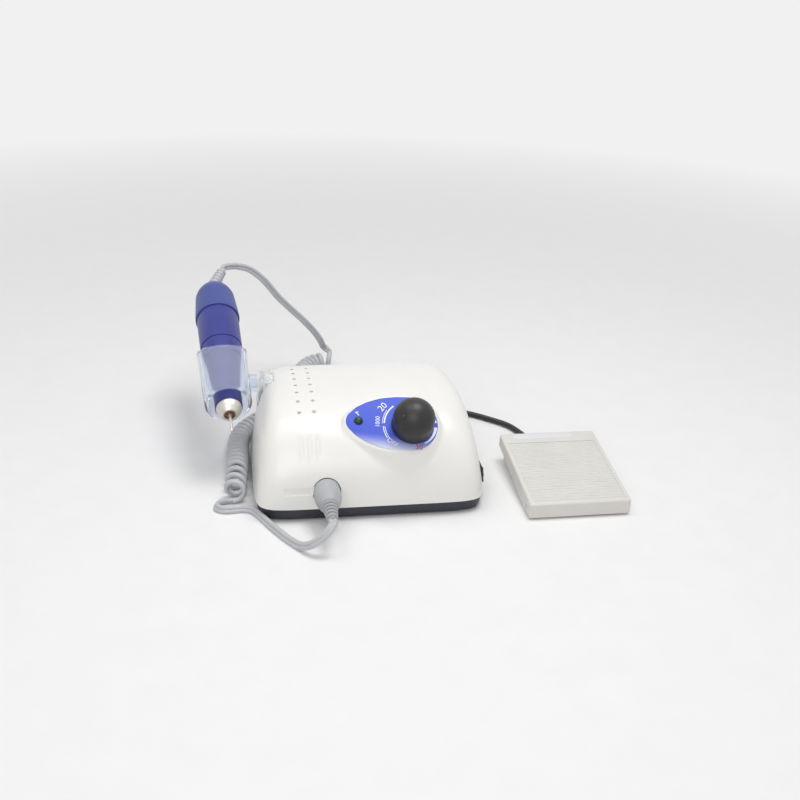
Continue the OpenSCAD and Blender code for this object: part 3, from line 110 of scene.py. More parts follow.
GLAND_X, GLAND_Z, GLAND_R, GLAND_OUT, NOTCH_R, NOTCH_TOP = 128, 4.9, 2.9, 12, 5.2, 16.2
BASE_FRONT, BASE_BACK, BASE_SIDE, BASE_WALL, BASE_RIM, BASE_EAR_Z = -64.9, 9.8, 2.9, 2, 7.4, 8.6
CORD_D, CURL_D, CURL_Z, BEAD = 3.4, 15, 7.6, 0.3
CURLS, OPEN_CURLS, CURL_LEAVE, OPEN_PITCH = 38, 3, 0.5, 9
PEDAL_CORD_D, PEDAL_PLUG_L = 4, 34
COIL_AT, COIL_R, COIL_FIRST, COIL_LAST, COIL_LOOPS = (2, 104), 27, 62, 278, 8
COIL_STEP, COIL_LAYER, COIL_LOW = 4.5, 4.5, 3.1

# Routes of the free cords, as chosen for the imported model
LEAD_POINTS = [
    (-83, 164.5, 97.3), (-76.5, 168.5, 95.8), (-67, 171.5, 91.6), (-56.5, 173.5, 81.8), (-46.5, 175.5, 68.4),
    (-39.5, 177, 60.5), (-32.5, 178.5, 53), (-25, 180.5, 45), (-18, 183.5, 36.2), (-13, 187, 28.6),
    (-9.8, 190.2, 22.2), (-7.8, 192.8, 17.2), (-4.9, 193.2, 14.3)
]
CURL_POINTS = [
    (0, 184), (-9, 183), (-17.5, 178.5), (-24, 170.5), (-28.5, 160), (-32, 147), (-36, 132), (-41.5, 116),
    (-49, 99.5), (-58.5, 85), (-68.5, 72.5), (-77.3, 60.5), (-82, 47), (-83.4, 32), (-83.8, 14), (-85, -4),
    (-86.2, -18), (-87.4, -31)
]
TAIL_POINTS = [
    (-95.5, -29.8, 2.2), (-98.6, -32.4, 2.4), (-98.4, -36.6, 2.4), (-94.5, -39.4, 2.4), (-89.5, -39.6, 2.4),
    (-84, -39.1, 2.4), (-78.8, -40, 2.4), (-74.6, -43.8, 2.4), (-70.8, -51, 2.4), (-66, -60.8, 2.4),
    (-60.5, -71, 2.4), (-55, -80, 2.4), (-49.5, -87.5, 3.2), (-43.8, -93, 7), (-38, -95.5, 12.3),
    (-33, -94.5, 17.5)
]
JACK_POINTS = [(40, 104, 24), (36, 113, 15), (28, 120, 7)]
PEDAL_POINTS = [
    (20, 78, 5), (32, 81, 2.6), (45, 87, 2.4), (61, 92, 2.4), (78, 92, 2.4), (94, 85, 2.4), (108, 74, 2.4),
    (119, 63, 2.4), (125, 50, 2.4), (127.5, 38, 3.2)
]


# Placing
def moved(x, y, z):
    return Matrix.Translation((x, y, z))


def turned(angle, axis):
    return Matrix.Rotation(angle, 4, axis)


def toward(v):
    v = Vector(v).normalized()
    return turned(math.atan2(v.y, v.x), "Z") @ turned(math.acos(v.z), "Y")


def placed(points, place):
    matrix = np.array(place)
    return np.asarray(points, float) @ matrix[:3, :3].T + matrix[:3, 3]


# The skin of the control box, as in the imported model
def side_x(y, z, inset=0.0):
    draw = BACK_DRAW * np.maximum(0, y - CREST_BACK) / (BACK_Y - CREST_BACK)
    return BOX_W / 2 - inset - SIDE_LEAN * (z - SEAM) / SHELL_H - draw


def top_z(y):
    return SEAM + SHELL_H * (1 - ((CREST_BACK - y) / FRONT_SWEEP) ** FRONT_POWER) ** (1 / FRONT_POWER)


def front_y(z):
    return CREST_BACK - FRONT_SWEEP * (1 - ((z - SEAM) / SHELL_H) ** FRONT_POWER) ** (1 / FRONT_POWER)


SOCKET_Y = front_y(SOCKET_Z)
AT_PANEL = moved(*PANEL_SEAT) @ turned(PANEL_TILT, "X")
AT_KNOB = AT_PANEL @ moved(*KNOB_OFF, 0)
AT_LAMP = AT_PANEL @ turned(EGG_TURN, "Z") @ moved(LAMP_OFFSET, 0, 0)
AT_SOCKET = moved(SOCKET_X, SOCKET_Y, SOCKET_Z) @ turned(math.pi / 2, "X")
AT_SWITCH = moved(side_x(SWITCH_Y, SWITCH_Z), SWITCH_Y, SWITCH_Z) @ turned(math.pi / 2 - LEAN, "Y")
AT_BRACKET = moved(BRACKET_X, HOLDER_Y, PIVOT_Z) @ turned(LEAN, "Y")
AT_PIVOT = moved(BRACKET_X, HOLDER_Y, PIVOT_Z) @ turned(-math.pi / 2, "Y")
AT_HAND = moved(*HAND_AT) @ turned(HAND_YAW, "Z") @ turned(HAND_PITCH, "X")
AT_GLAND = moved(GLAND_X, BASE_BACK, GLAND_Z) @ turned(-math.pi / 2, "X")
AT_RELIEF = AT_HAND @ moved(0, 0, CAP_BACK) @ toward(RELIEF_DIR)


def at_rear(x):
    return moved(x, BACK_Y, REAR_Z) @ turned(-math.pi / 2, "X")


# Solids: each is a pair of points and faces
def filleted(corners, closed=True, steps=5):
    """The outline through (a, b, radius) corners, each rounded by a short curve."""
    spots = [np.array(c[:2], float) for c in corners]
    radii = [c[2] if len(c) > 2 else 0 for c in corners]
    outline = []
    count = len(spots)
    for i, (spot, radius) in enumerate(zip(spots, radii)):
        at_end = not closed and i in (0, count - 1)
        if radius <= 0 or at_end:
            outline.append(spot)
            continue
        before, after = spots[i - 1] - spot, spots[(i + 1) % count] - spot
        room = 0.48 * min(np.linalg.norm(before), np.linalg.norm(after))
        reach = min(radius, room)
        first = spot + before / np.linalg.norm(before) * reach
        last = spot + after / np.linalg.norm(after) * reach
        for t in np.linspace(0, 1, steps + 1):
            outline.append((1 - t) ** 2 * first + 2 * t * (1 - t) * spot + t * t * last)
    return np.array(outline)


def polar(r, angle):
    return r * math.cos(angle), r * math.sin(angle)


def full_turn(count):
    return np.linspace(0, 2 * np.pi, count, endpoint=False)


def arc(r, first, last, count, middle=(0, 0)):
    """Points on a circle between two angles."""
    x, y = middle
    return [(x + r * math.cos(t), y + r * math.sin(t)) for t in np.linspace(first, last, count)]


def skin_of(rings, closed_along=False):
    """Quads between closed rings of equally many points; rings is an array (ring, point, 3)."""
    count, size = rings.shape[:2]
    faces = []
    for i in range(count if closed_along else count - 1):
        low, high = i * size, (i + 1) % count * size
        for k in range(size):
            n = (k + 1) % size
            faces.append((low + k, low + n, high + n, high + k))
    return rings.reshape(-1, 3), faces


def stacked(rings):
    """A closed solid through a stack of closed rings, with flat ends."""
    rings = np.asarray(rings, float)
    points, faces = skin_of(rings)
    size = rings.shape[1]
    faces.append(tuple(range(size))[::-1])
    faces.append(tuple(range(len(points) - size, len(points))))
    return points, faces


def lathe(profile, place, closed=False, steps=96):
    """A solid turned from (radius, height) points; a closed profile makes a ring."""
    profile = np.asarray(profile, float)
    angles = full_turn(steps)
    points, faces, rows = [], [], []
    for radius, height in profile:
        if radius < 1e-6:
            rows.append([len(points)] * steps)
            points.append((0, 0, height))
            continue
        rows.append(list(range(len(points), len(points) + steps)))
        points.extend((*polar(radius, a), height) for a in angles)
    for i in range(len(rows) if closed else len(rows) - 1):
        low, high = rows[i], rows[(i + 1) % len(rows)]
        for k in range(steps):
            n = (k + 1) % steps
            corners = [low[k], low[n], high[n], high[k]]
            faces.append(tuple(dict.fromkeys(corners)))
    return placed(points, place), [f for f in faces if len(f) > 2]


def drum(radius, low, high, place, steps=48):
    return lathe([(0, low), (radius, low), (radius, high), (0, high)], place, steps=steps)


def slab(outline, low, high, place):
    """A flat plate of that outline between two heights."""
    rings = [[(x, y, z) for x, y in outline] for z in (low, high)]
    points, faces = stacked(rings)
    return placed(points, place), faces


def block(size, low, place, soft=0.0):
    """A box on its middle, with rounded upright edges where soft is given."""
    x, y = size[0] / 2, size[1] / 2
    outline = filleted([(-x, -y, soft), (x, -y, soft), (x, y, soft), (-x, y, soft)])
    return slab(outline, low, low + size[2], place)


def pill(outline_at, low, high, soft, place, steps=4):
    """A plate with rounded rims; outline_at(grow) gives its outline moved out by grow."""
    rings = []
    quarter = math.pi / 2
    for z, first, last in ((low + soft, -quarter, 0), (high - soft, 0, quarter)):
        for t in np.linspace(first, last, steps + 1):
            outline = outline_at(soft * (math.cos(t) - 1))
            rings.append([(x, y, z + soft * math.sin(t)) for x, y in outline])
    points, faces = stacked(rings)
    return placed(points, place), faces


def joined(*solids):
    points, faces = [], []
    for solid_points, solid_faces in solids:
        shift = sum(len(p) for p in points)
        points.append(np.asarray(solid_points, float))
        faces.extend(tuple(i + shift for i in f) for f in solid_faces)
    return np.concatenate(points), faces


def shown(name, data):
    thing = bpy.data.objects.new(name, data)
    bpy.context.scene.collection.objects.link(thing)
    return thing


def reshaped(mesh, change):
    """The mesh after a change of its editable form."""
    model = bmesh.new()
    model.from_mesh(mesh)
    change(model)
    model.to_mesh(mesh)
    model.free()
    return mesh


def mesh_of(name, solid):
    points, faces = solid
    mesh = bpy.data.meshes.new(name)
    mesh.from_pydata((np.asarray(points) * MM).tolist(), [], faces)
    return reshaped(mesh, lambda model: bmesh.ops.recalc_face_normals(model, faces=model.faces))


def solid_of(mesh):
    """The solid of a mesh that isn't needed any more."""
    points = np.array([v.co for v in mesh.vertices], float).reshape(-1, 3) / MM
    faces = [tuple(p.vertices) for p in mesh.polygons]
    bpy.data.meshes.remove(mesh)
    return points, faces


def combined(base, tool, operation):
    """The base with the tool's solids cut out of it (DIFFERENCE) or added to it (UNION)."""
    objects = [shown(name, mesh_of(name, solid)) for name, solid in (("base", base), ("tool", tool))]
    modifier = objects[0].modifiers.new("cut", "BOOLEAN")
    modifier.operation = operation
    modifier.solver = "MANIFOLD"
    modifier.object = objects[1]
    graph = bpy.context.evaluated_depsgraph_get()
    result = solid_of(bpy.data.meshes.new_from_object(objects[0].evaluated_get(graph)))
    for thing in objects:
        mesh = thing.data
        bpy.data.objects.remove(thing)
        bpy.data.meshes.remove(mesh)
    return result


def fused(base, *tools):
    for tool in tools:
        base = combined(base, tool, "UNION")
    return base


def cut(base, *tools):
    for tool in tools:
        base = combined(base, tool, "DIFFERENCE")
    return base


def bevelled(solid, width, segments=4, angle=20):
    """The solid with its sharp edges rounded."""
    def round_off(model):
        sharp = [e for e in model.edges if e.is_manifold and e.calc_face_angle() > math.radians(angle)]
        bmesh.ops.bevel(
            model, geom=sharp, offset=width * MM, segments=segments, profile=0.5, affect="EDGES",
            clamp_overlap=True
        )

    return solid_of(reshaped(mesh_of("bevel", solid), round_off))


def softened(node, width):
    """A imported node's own shape with its sharp edges rounded."""
    def clean(model):
        bmesh.ops.remove_doubles(model, verts=model.verts, dist=1e-6)
        bmesh.ops.dissolve_limit(model, angle_limit=math.radians(1), verts=model.verts, edges=model.edges)

    return bevelled(solid_of(reshaped(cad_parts[node].data.copy(), clean)), width, 3, 40)


def piece(name, solid, body, slot, node=None, crease=35, finish=None):
    """Shows a solid as one piece of the object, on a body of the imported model, in place of a node."""
    mesh = mesh_of(name, solid)
    mesh.polygons.foreach_set("use_smooth", [True] * len(mesh.polygons))
    mesh.set_sharp_from_angle(angle=math.radians(crease))
    mesh.materials.append(FINISH[finish or slot])
    thing = shown(name, mesh)
    if body:
        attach(thing, body)
    if node:
        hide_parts(node)
    return thing


# Corners of one rib of a strain relief: share of the pitch, shift and fillet
PLUG_RIB = [(0, 0.1, 0.25), (0.55, 0, 0.3), (0.6, 0, 0.2), (0.95, 0, 0.2)]
RELIEF_RIB = [(0, 0, 0.5), (0.5, 0, 0.6), (0.5, 0.2, 0.3), (1, -0.2, 0.3)]
GLAND_RIB = [(0, 0, 0.3), (0.55, 0, 0.3), (0.6, 0, 0.2), (0.95, 0, 0.2)]


def ribs(low, high, count, radii, deep, corners):
    """Ribs along a tapered sleeve, each with two corners outside and two that lie deep in."""
    pitch = (high - low) / count
    outline = []
    for i in range(count):
        r = radii[0] + (radii[1] - radii[0]) * i / (count - 1)
        for inset, (share, shift, soft) in zip((0, 0, deep, deep), corners):
            outline.append((r - inset, low + pitch * (i + share) + shift, soft))
    return outline


# Materials: colours are linear light
def new_node(tree, kind, inputs=None, **settings):
    made = tree.nodes.new(kind)
    for key, value in settings.items():
        setattr(made, key, value)
    for key, value in (inputs or {}).items():
        if isinstance(value, bpy.types.NodeSocket):
            tree.links.new(value, made.inputs[key])
        else:
            made.inputs[key].default_value = value
    return made


def maths(tree, operation, *values):
    """The result of one step of arithmetic."""
    return new_node(tree, "ShaderNodeMath", dict(enumerate(values)), operation=operation).outputs[0]


class Shader:
    """A principled material with its nodes at hand."""

    def __init__(self, name, colour, rough, metal=0.0, coat=0.0):
        self.material = bpy.data.materials.new(name)
        self.material.use_nodes = True
        self.tree = self.material.node_tree
        self.shader = self.tree.nodes["Principled BSDF"]
        self.colour = colour
        self.put("Base Color", (*colour, 1))
        self.put("Roughness", rough)
        self.put("Metallic", metal)
        self.put("Coat Weight", coat)
        self.where = self.node("ShaderNodeTexCoord").outputs["Object"]

    def put(self, socket, value):
        self.shader.inputs[socket].default_value = value

    def node(self, kind, inputs=None, **settings):
        return new_node(self.tree, kind, inputs, **settings)

    def local(self, place, scale=(1, 1, 1)):
        """Coordinates in millimetres in the frame of a place."""
        spot = (Matrix.Diagonal((*[MM] * 3, 1)) @ place).inverted().translation
        turn = place.to_3x3().inverted().to_euler("XYZ")
        mapped = self.node(
            "ShaderNodeMapping",
            {"Vector": self.where, "Location": spot, "Rotation": turn, "Scale": [1 / MM] * 3},
        )
        return self.node(
            "ShaderNodeVectorMath", {0: mapped.outputs["Vector"], 1: scale}, operation="MULTIPLY"
        ).outputs["Vector"]

    def noise(self, scale, detail=2.0, where=None):
        """Noise whose features are about 1/scale of a metre."""
        made = self.node(
            "ShaderNodeTexNoise", {"Vector": where or self.where, "Scale": scale, "Detail": detail}
        )
        return made.outputs["Fac"]

    def spread(self, fac, low, high, start=0.3, end=0.7):
        ends = {"From Min": start, "From Max": end, "To Min": low, "To Max": high}
        return self.node("ShaderNodeMapRange", {"Value": fac, **ends}).outputs["Result"]

    def mixed(self, fac, first, second):
        made = self.node("ShaderNodeMix", data_type="RGBA")
        for index, value in ((0, fac), (6, first), (7, second)):
            if isinstance(value, bpy.types.NodeSocket):
                self.tree.links.new(value, made.inputs[index])
            elif index:
                made.inputs[index].default_value = (*value, 1)
        return made.outputs[2]

    def link(self, output, socket):
        self.tree.links.new(output, self.shader.inputs[socket])

    def mottle(self, share, scale):
        """Slow changes of the colour, by a share of it."""
        low = [c * (1 - share) for c in self.colour]
        high = [min(1, c * (1 + share)) for c in self.colour]
        self.link(self.mixed(self.spread(self.noise(scale), 0, 1), low, high), "Base Color")

    def grain(self, rough, strength, scale, depth=0.1, where=None):
        """Fine relief, and roughness that changes with it."""
        fine = self.noise(scale, 3, where)
        self.link(self.spread(fine, rough[0], rough[1]), "Roughness")
        self.relief(fine, strength, depth)

    def relief(self, height, strength, depth):
        bump = self.node("ShaderNodeBump", {"Height": height, "Strength": strength, "Distance": depth * MM})
        self.link(bump.outputs["Normal"], "Normal")


def plastic(name, colour, rough, share=0.03, strength=0.12, scale=1400, coat=0.0):
    """Moulded plastic or rubber: fine texture and slight changes of tone."""
    shader = Shader(name, colour, sum(rough) / 2, coat=coat)
    shader.mottle(share, 45)
    shader.grain(rough, strength, scale)
    return shader


def brushed(name, colour, rough, place, scale=(0.02, 0.02, 9)):
    """Turned or brushed metal, with its lines across the axis of a place."""
    shader = Shader(name, colour, sum(rough) / 2, metal=1.0)
    shader.mottle(0.06, 120)
    shader.grain(rough, 0.25, 1.0, 0.03, shader.local(place, scale))
    return shader


def see_through(name, colour, rough, transmission, ior):
    """Clear or frosted plastic, whose polish changes slowly."""
    shader = Shader(name, colour, sum(rough) / 2)
    shader.mottle(0.02, 45)
    shader.link(shader.spread(shader.noise(160), *rough), "Roughness")
    shader.put("Transmission Weight", transmission)
    shader.put("IOR", ior)
    return shader


def panel_blue():
    """Printed film: blue that fades to white towards its lower edge."""
    shader = Shader("panel_blue", PANEL_BLUE, 0.47)
    shader.put("Specular IOR Level", 0.3)
    split = shader.node("ShaderNodeSeparateXYZ", {"Vector": shader.local(AT_PANEL)}).outputs
    across = maths(shader.tree, "MULTIPLY_ADD", split["X"], 0.16, split["Y"])
    curve = maths(shader.tree, "POWER", shader.spread(across, 1, 0, -20, -9), 1.6)
    tone = shader.mixed(shader.spread(shader.noise(60), 0, 1), PANEL_BLUE, [1.07 * c for c in PANEL_BLUE])
    shader.link(shader.mixed(curve, tone, (0.8, 0.82, 0.9)), "Base Color")
    shader.grain((0.42, 0.52), 0.05, 1500)
    return shader


def winding_copper():
    """Enamelled wire, laid in close turns."""
    shader = Shader("winding_copper", (0.45, 0.17, 0.06), 0.35, metal=0.8)
    wave = shader.node("ShaderNodeTexWave", {"Vector": shader.where, "Scale": 400.0}, bands_direction="Z")
    wires = wave.outputs["Fac"]
    shader.link(shader.mixed(wires, (0.25, 0.08, 0.03), (0.6, 0.25, 0.1)), "Base Color")
    shader.relief(wires, 0.5, 0.2)
    return shader


PANEL_BLUE = (0.062, 0.11, 0.63)
# Colour and range of roughness, then the changes of tone, the grain's strength and scale, and the coat
PLASTICS = {
    "white_plastic": ((0.84, 0.83, 0.80), (0.26, 0.36), 0.012, 0.06, 1800, 0.15),
    "dark_plastic": ((0.022, 0.025, 0.035), (0.38, 0.5), 0.12),
    "black_rubber": ((0.012, 0.012, 0.013), (0.6, 0.75), 0.15, 0.25),
    "lamp_green": ((0.006, 0.06, 0.025), (0.08, 0.14), 0.1, 0.02),
    "knob_black": ((0.016, 0.015, 0.015), (0.38, 0.48), 0.1, 0.12, 2200),
    "grey_plastic": ((0.42, 0.43, 0.45), (0.38, 0.5), 0.05),
    "board_green": ((0.01, 0.12, 0.04), (0.3, 0.45), 0.2),
    "cap_sleeve": ((0.02, 0.03, 0.09), (0.25, 0.35), 0.08),
    "black_plastic": ((0.014, 0.014, 0.015), (0.3, 0.42), 0.12),
    "handpiece_blue": ((0.024, 0.032, 0.24), (0.3, 0.42), 0.06, 0.1, 2000),
    "cap_blue": ((0.042, 0.068, 0.28), (0.36, 0.48), 0.05, 0.12, 2000),
    "collar_blue": ((0.015, 0.019, 0.16), (0.26, 0.36), 0.06, 0.08, 2000),
    "magnet_black": ((0.03, 0.03, 0.034), (0.55, 0.7), 0.15),
    "brush_brown": ((0.09, 0.05, 0.03), (0.5, 0.65), 0.15),
    "cord_grey": ((0.5, 0.51, 0.53), (0.36, 0.48), 0.04),
    "pedal_grey": ((0.69, 0.67, 0.635), (0.38, 0.5), 0.02, 0.15, 1600),
    "pad_grey": ((0.68, 0.665, 0.635), (0.45, 0.58), 0.03, 0.2, 1600),
    "cord_black": ((0.016, 0.016, 0.018), (0.38, 0.5), 0.1),
    "tie_white": ((0.7, 0.7, 0.69), (0.45, 0.6), 0.04),
    "print_white": ((0.86, 0.87, 0.9), (0.4, 0.5), 0.02),
    "print_red": ((0.6, 0.02, 0.02), (0.4, 0.5), 0.05),
    "label_white": ((0.72, 0.72, 0.76), (0.3, 0.4), 0.015, 0.05),
}
# Colour and range of roughness, then the place whose frame the lines follow, and their scale in it
METALS = {
    "steel": ((0.55, 0.56, 0.57), (0.25, 0.4), Matrix.Identity(4)),
    "iron_core": ((0.12, 0.12, 0.13), (0.4, 0.6), Matrix.Identity(4), (0.02, 3, 0.02)),
    "nose_metal": ((0.66, 0.63, 0.58), (0.35, 0.45), AT_HAND),
    "collet_bronze": ((0.2, 0.12, 0.07), (0.3, 0.45), AT_HAND),
}
# Colour and range of roughness, then the transmission and the index of refraction
CLEAR = {
    "clear_plastic": ((0.93, 0.95, 0.96), (0.04, 0.08), 0.8, 1.15),
    "frosted_plastic": ((0.86, 0.9, 1.0), (0.03, 0.06), 0.86, 1.07),
}
FINISH = {"blue_panel": panel_blue().material, "copper_winding": winding_copper().material}
for kind, finishes in ((plastic, PLASTICS), (brushed, METALS), (see_through, CLEAR)):
    FINISH.update({name: kind(name, *values).material for name, values in finishes.items()})


# Camera, light and floor; the sizes of the stage and the lamps are in metres
STAGE_MIDDLE, STAGE_FADE, STAGE_HALF, STAGE_TONE, SKY_LIGHT = (0.03, 0.05, 0), (0.3, 1.1), 15, 0.88, 0.36
LAMP_AIM = (0.02, 0.03, 0.04)
# Place, size and watts
LAMPS = {
    "key": ((0.22, 0.0, 1.1), 0.5, 5.4),
    "overhead": ((-0.35, 0.1, 1.05), 0.6, 2.0),
    "fill": ((-0.3, -1.0, 0.7), 0.9, 4.2),
}


def camera():
    azimuth, elevation, roll = math.radians(-10.5), math.radians(25.2), math.radians(2.5)
    distance, focal_px, image_px, sensor = 740, 1076, 800, 36
    target = Vector((27.6, 19.5, 47.4))
    back = Vector((
        math.sin(azimuth) * math.cos(elevation), -math.cos(azimuth) * math.cos(elevation), math.sin(elevation)
    ))
    right = Vector((math.cos(azimuth), math.sin(azimuth), 0))
    up = back.cross(right)
    data = bpy.data.cameras.new("camera")
    data.sensor_width = sensor
    data.lens = sensor * focal_px / image_px
    data.clip_start = 0.01
    axes = Matrix((
        right * math.cos(roll) + up * math.sin(roll), up * math.cos(roll) - right * math.sin(roll), back
    )).transposed()
    view = shown("camera", data)
    view.matrix_world = Matrix.Translation((target + back * distance) * MM) @ axes.to_4x4()
    bpy.context.scene.camera = view


def lamp(name, spot, size, watts):
    data = bpy.data.lights.new(name, "AREA")
    data.shape = "DISK"
    data.size = size
    data.energy = watts
    thing = shown(name, data)
    spot = Vector(spot)
    thing.rotation_euler = (Vector(LAMP_AIM) - spot).to_track_quat("-Z", "Y").to_euler()
    thing.location = spot


def seen_by_eye(tree):
    """One on rays that the camera sends, also by way of metal or glass."""
    path = new_node(tree, "ShaderNodeLightPath").outputs
    either = maths(tree, "MAXIMUM", path["Is Camera Ray"], path["Is Glossy Ray"])
    return maths(tree, "MAXIMUM", either, path["Is Transmission Ray"])


def floor_material():
    """A pale floor that keeps the object's shadow and runs out into an even tone round it."""
    shader = plastic("floor", (0.86, 0.86, 0.86), (0.6, 0.7), 0.01, 0.02, 300)
    away = shader.node("ShaderNodeVectorMath", {0: shader.where, 1: STAGE_MIDDLE}, operation="DISTANCE")
    far = shader.spread(away.outputs["Value"], 0, 1, *STAGE_FADE)
    share = maths(shader.tree, "MULTIPLY", far, seen_by_eye(shader.tree))
    even = shader.node("ShaderNodeEmission", {"Color": (*[STAGE_TONE] * 3, 1), "Strength": 1.0})
    both = shader.node("ShaderNodeMixShader", {0: share, 1: shader.shader.outputs[0], 2: even.outputs[0]})
    shader.tree.links.new(both.outputs[0], shader.tree.nodes["Material Output"].inputs["Surface"])
    return shader.material


def studio():
    world = bpy.data.worlds.new("studio")
    world.use_nodes = True
    sky = world.node_tree.nodes["Background"]
    sky.inputs["Color"].default_value = (1, 1, 1, 1)
    strength = new_node(
        world.node_tree, "ShaderNodeMapRange",
        {"Value": seen_by_eye(world.node_tree), "To Min": SKY_LIGHT, "To Max": STAGE_TONE}
    )
    world.node_tree.links.new(strength.outputs["Result"], sky.inputs["Strength"])
    bpy.context.scene.world = world
    for name, values in LAMPS.items():
        lamp(name, *values)
    floor_mesh = bpy.data.meshes.new("floor")
    corners = [(x * STAGE_HALF, y * STAGE_HALF, 0) for x, y in ((-1, -1), (1, -1), (1, 1), (-1, 1))]
    floor_mesh.from_pydata(corners, [], [(0, 1, 2, 3)])
    floor_mesh.materials.append(floor_material())
    shown("floor", floor_mesh)
    bpy.context.scene.view_settings.view_transform = "Standard"


camera()
studio()


# Cords
def unit(v):
    v = np.asarray(v, float)
    return v / np.linalg.norm(v)


def bend(route, steps):
    """A smooth curve through the route's points."""
    route = np.asarray(route, float)
    last = len(route) - 1
    curve = []
    for i in range(last):
        a, b, c, d = route[max(i - 1, 0)], route[i], route[i + 1], route[min(i + 2, last)]
        for t in np.arange(steps) / steps:
            square, cube = 2 * a - 5 * b + 4 * c - d, 3 * b - a - 3 * c + d
            curve.append(b + 0.5 * t * ((c - a) + t * (square + t * cube)))
    return np.array(curve + [route[last]])


def cord_route(start, out, points, end, into, d, steps=8):
    middle = bend([start + d * out, *points, end - d * into], steps)
    return np.array([start, *middle, end])


def headings(path):
    ahead = np.concatenate([path[1:], path[-1:]]) - np.concatenate([path[:1], path[:-1]])
    return ahead / np.linalg.norm(ahead, axis=1)[:, None]


def carried(path, first):
    """A direction square to the path, carried along it without twist."""
    sides = []
    side = np.asarray(first, float)
    for heading in headings(path):
        side = unit(side - side.dot(heading) * heading)
        sides.append(side)
    return np.array(sides)


def sweep(path, section, thin, grow=None):
    """A solid along a path; section is (across, along the thin direction) points, grown at each point."""
    heading = headings(path)
    thin = np.array([unit(t - t.dot(h) * h) for t, h in zip(thin, heading)])
    across = np.cross(heading, thin)
    sizes = np.ones(len(path)) if grow is None else grow
    rings = [
        [p + size * (a * side + b * up) for a, b in section]
        for p, side, up, size in zip(path, across, thin, sizes)
    ]
    return stacked(rings)


def round_section(d, sides=16):
    return [polar(d / 2, t) for t in full_turn(sides)]


def flat_section(width, thick, power, sides):
    """An oval whose sides are flatter the higher the power is."""
    def swell(c):
        return math.copysign(abs(c) ** (2 / power), c) / 2

    return [(width * swell(math.cos(t)), thick * swell(math.sin(t))) for t in full_turn(sides)]


def twin_section(width, thick, steps=12):
    """Two round strands side by side, with a groove between them."""
    r = thick / 2
    off = width / 2 - r
    groove = math.pi - math.acos(off / r)
    right = arc(r, -groove, groove, steps, (off, 0))
    return right + [(-x, -y) for x, y in right]


def ease(t):
    c = np.clip(t, 0, 1)
    return c * c * (3 - 2 * c)


def sums_along(path):
    """The way from the start to each point."""
    return np.concatenate([[0], np.cumsum(np.linalg.norm(np.diff(path, axis=0), axis=1))])


def run_of(path):
    return float(np.linalg.norm(np.diff(path, axis=0), axis=1).sum())


def cord(name, path, section, thin, width, body, slot, node, lay, grow=None):
    """One free stretch of cord along its path."""
    thing = piece(name, sweep(path, section, thin, grow), body, slot, node, 60)
    run_of(path) * MM
    return thing


LEAD_W, LEAD_T = 5.4, 3
LEAD_FACE = np.array([-0.15, -0.9, 0.4])
LEAD_SPLIT, LEAD_LEVEL, LEAD_LANDING, CURL_STEPS = 4, 6, 11, 24
CURL_W, CURL_T, CURL_POWER, JOIN_STEPS, JOIN_GAP = 4.1, 3.4, 2.2, 10, 0.05
curl_base = bend([(x, y, CURL_Z) for x, y in CURL_POINTS], 12)
curl_sums = sums_along(curl_base)
LOOSE_TURNS = 1 + OPEN_CURLS + CURL_LEAVE
CURL_TURNS = CURLS + LOOSE_TURNS
CLOSED_PITCH = (curl_sums[-1] - 2 * CORD_D - LOOSE_TURNS * OPEN_PITCH) / CURLS


def along_curl(s):
    return np.array([np.interp(s, curl_sums, curl_base[:, i]) for i in range(3)])


def curl_ring(turn):
    """The centre of the curly cord after so many turns, and the way out of the curl there."""
    closed = min(max(turn - 1, 0), CURLS)
    s = CORD_D + closed * CLOSED_PITCH + (turn - closed) * OPEN_PITCH
    heading = unit(along_curl(min(s + CORD_D, curl_sums[-1])) - along_curl(max(s - CORD_D, 0)))
    angle = 2 * math.pi * turn
    out = math.cos(angle) * UP + math.sin(angle) * np.cross(UP, heading)
    return along_curl(s) + (CURL_D - CURL_T) / 2 * out, out


def curl_heading(turn):
    return unit(curl_ring(turn + 0.01)[0] - curl_ring(turn - 0.01)[0])


def joining(count):
    """Sizes along a lead that starts as thin as the curls."""
    return CURL_W / LEAD_W + (1 - CURL_W / LEAD_W) * ease(np.arange(count) / JOIN_STEPS)


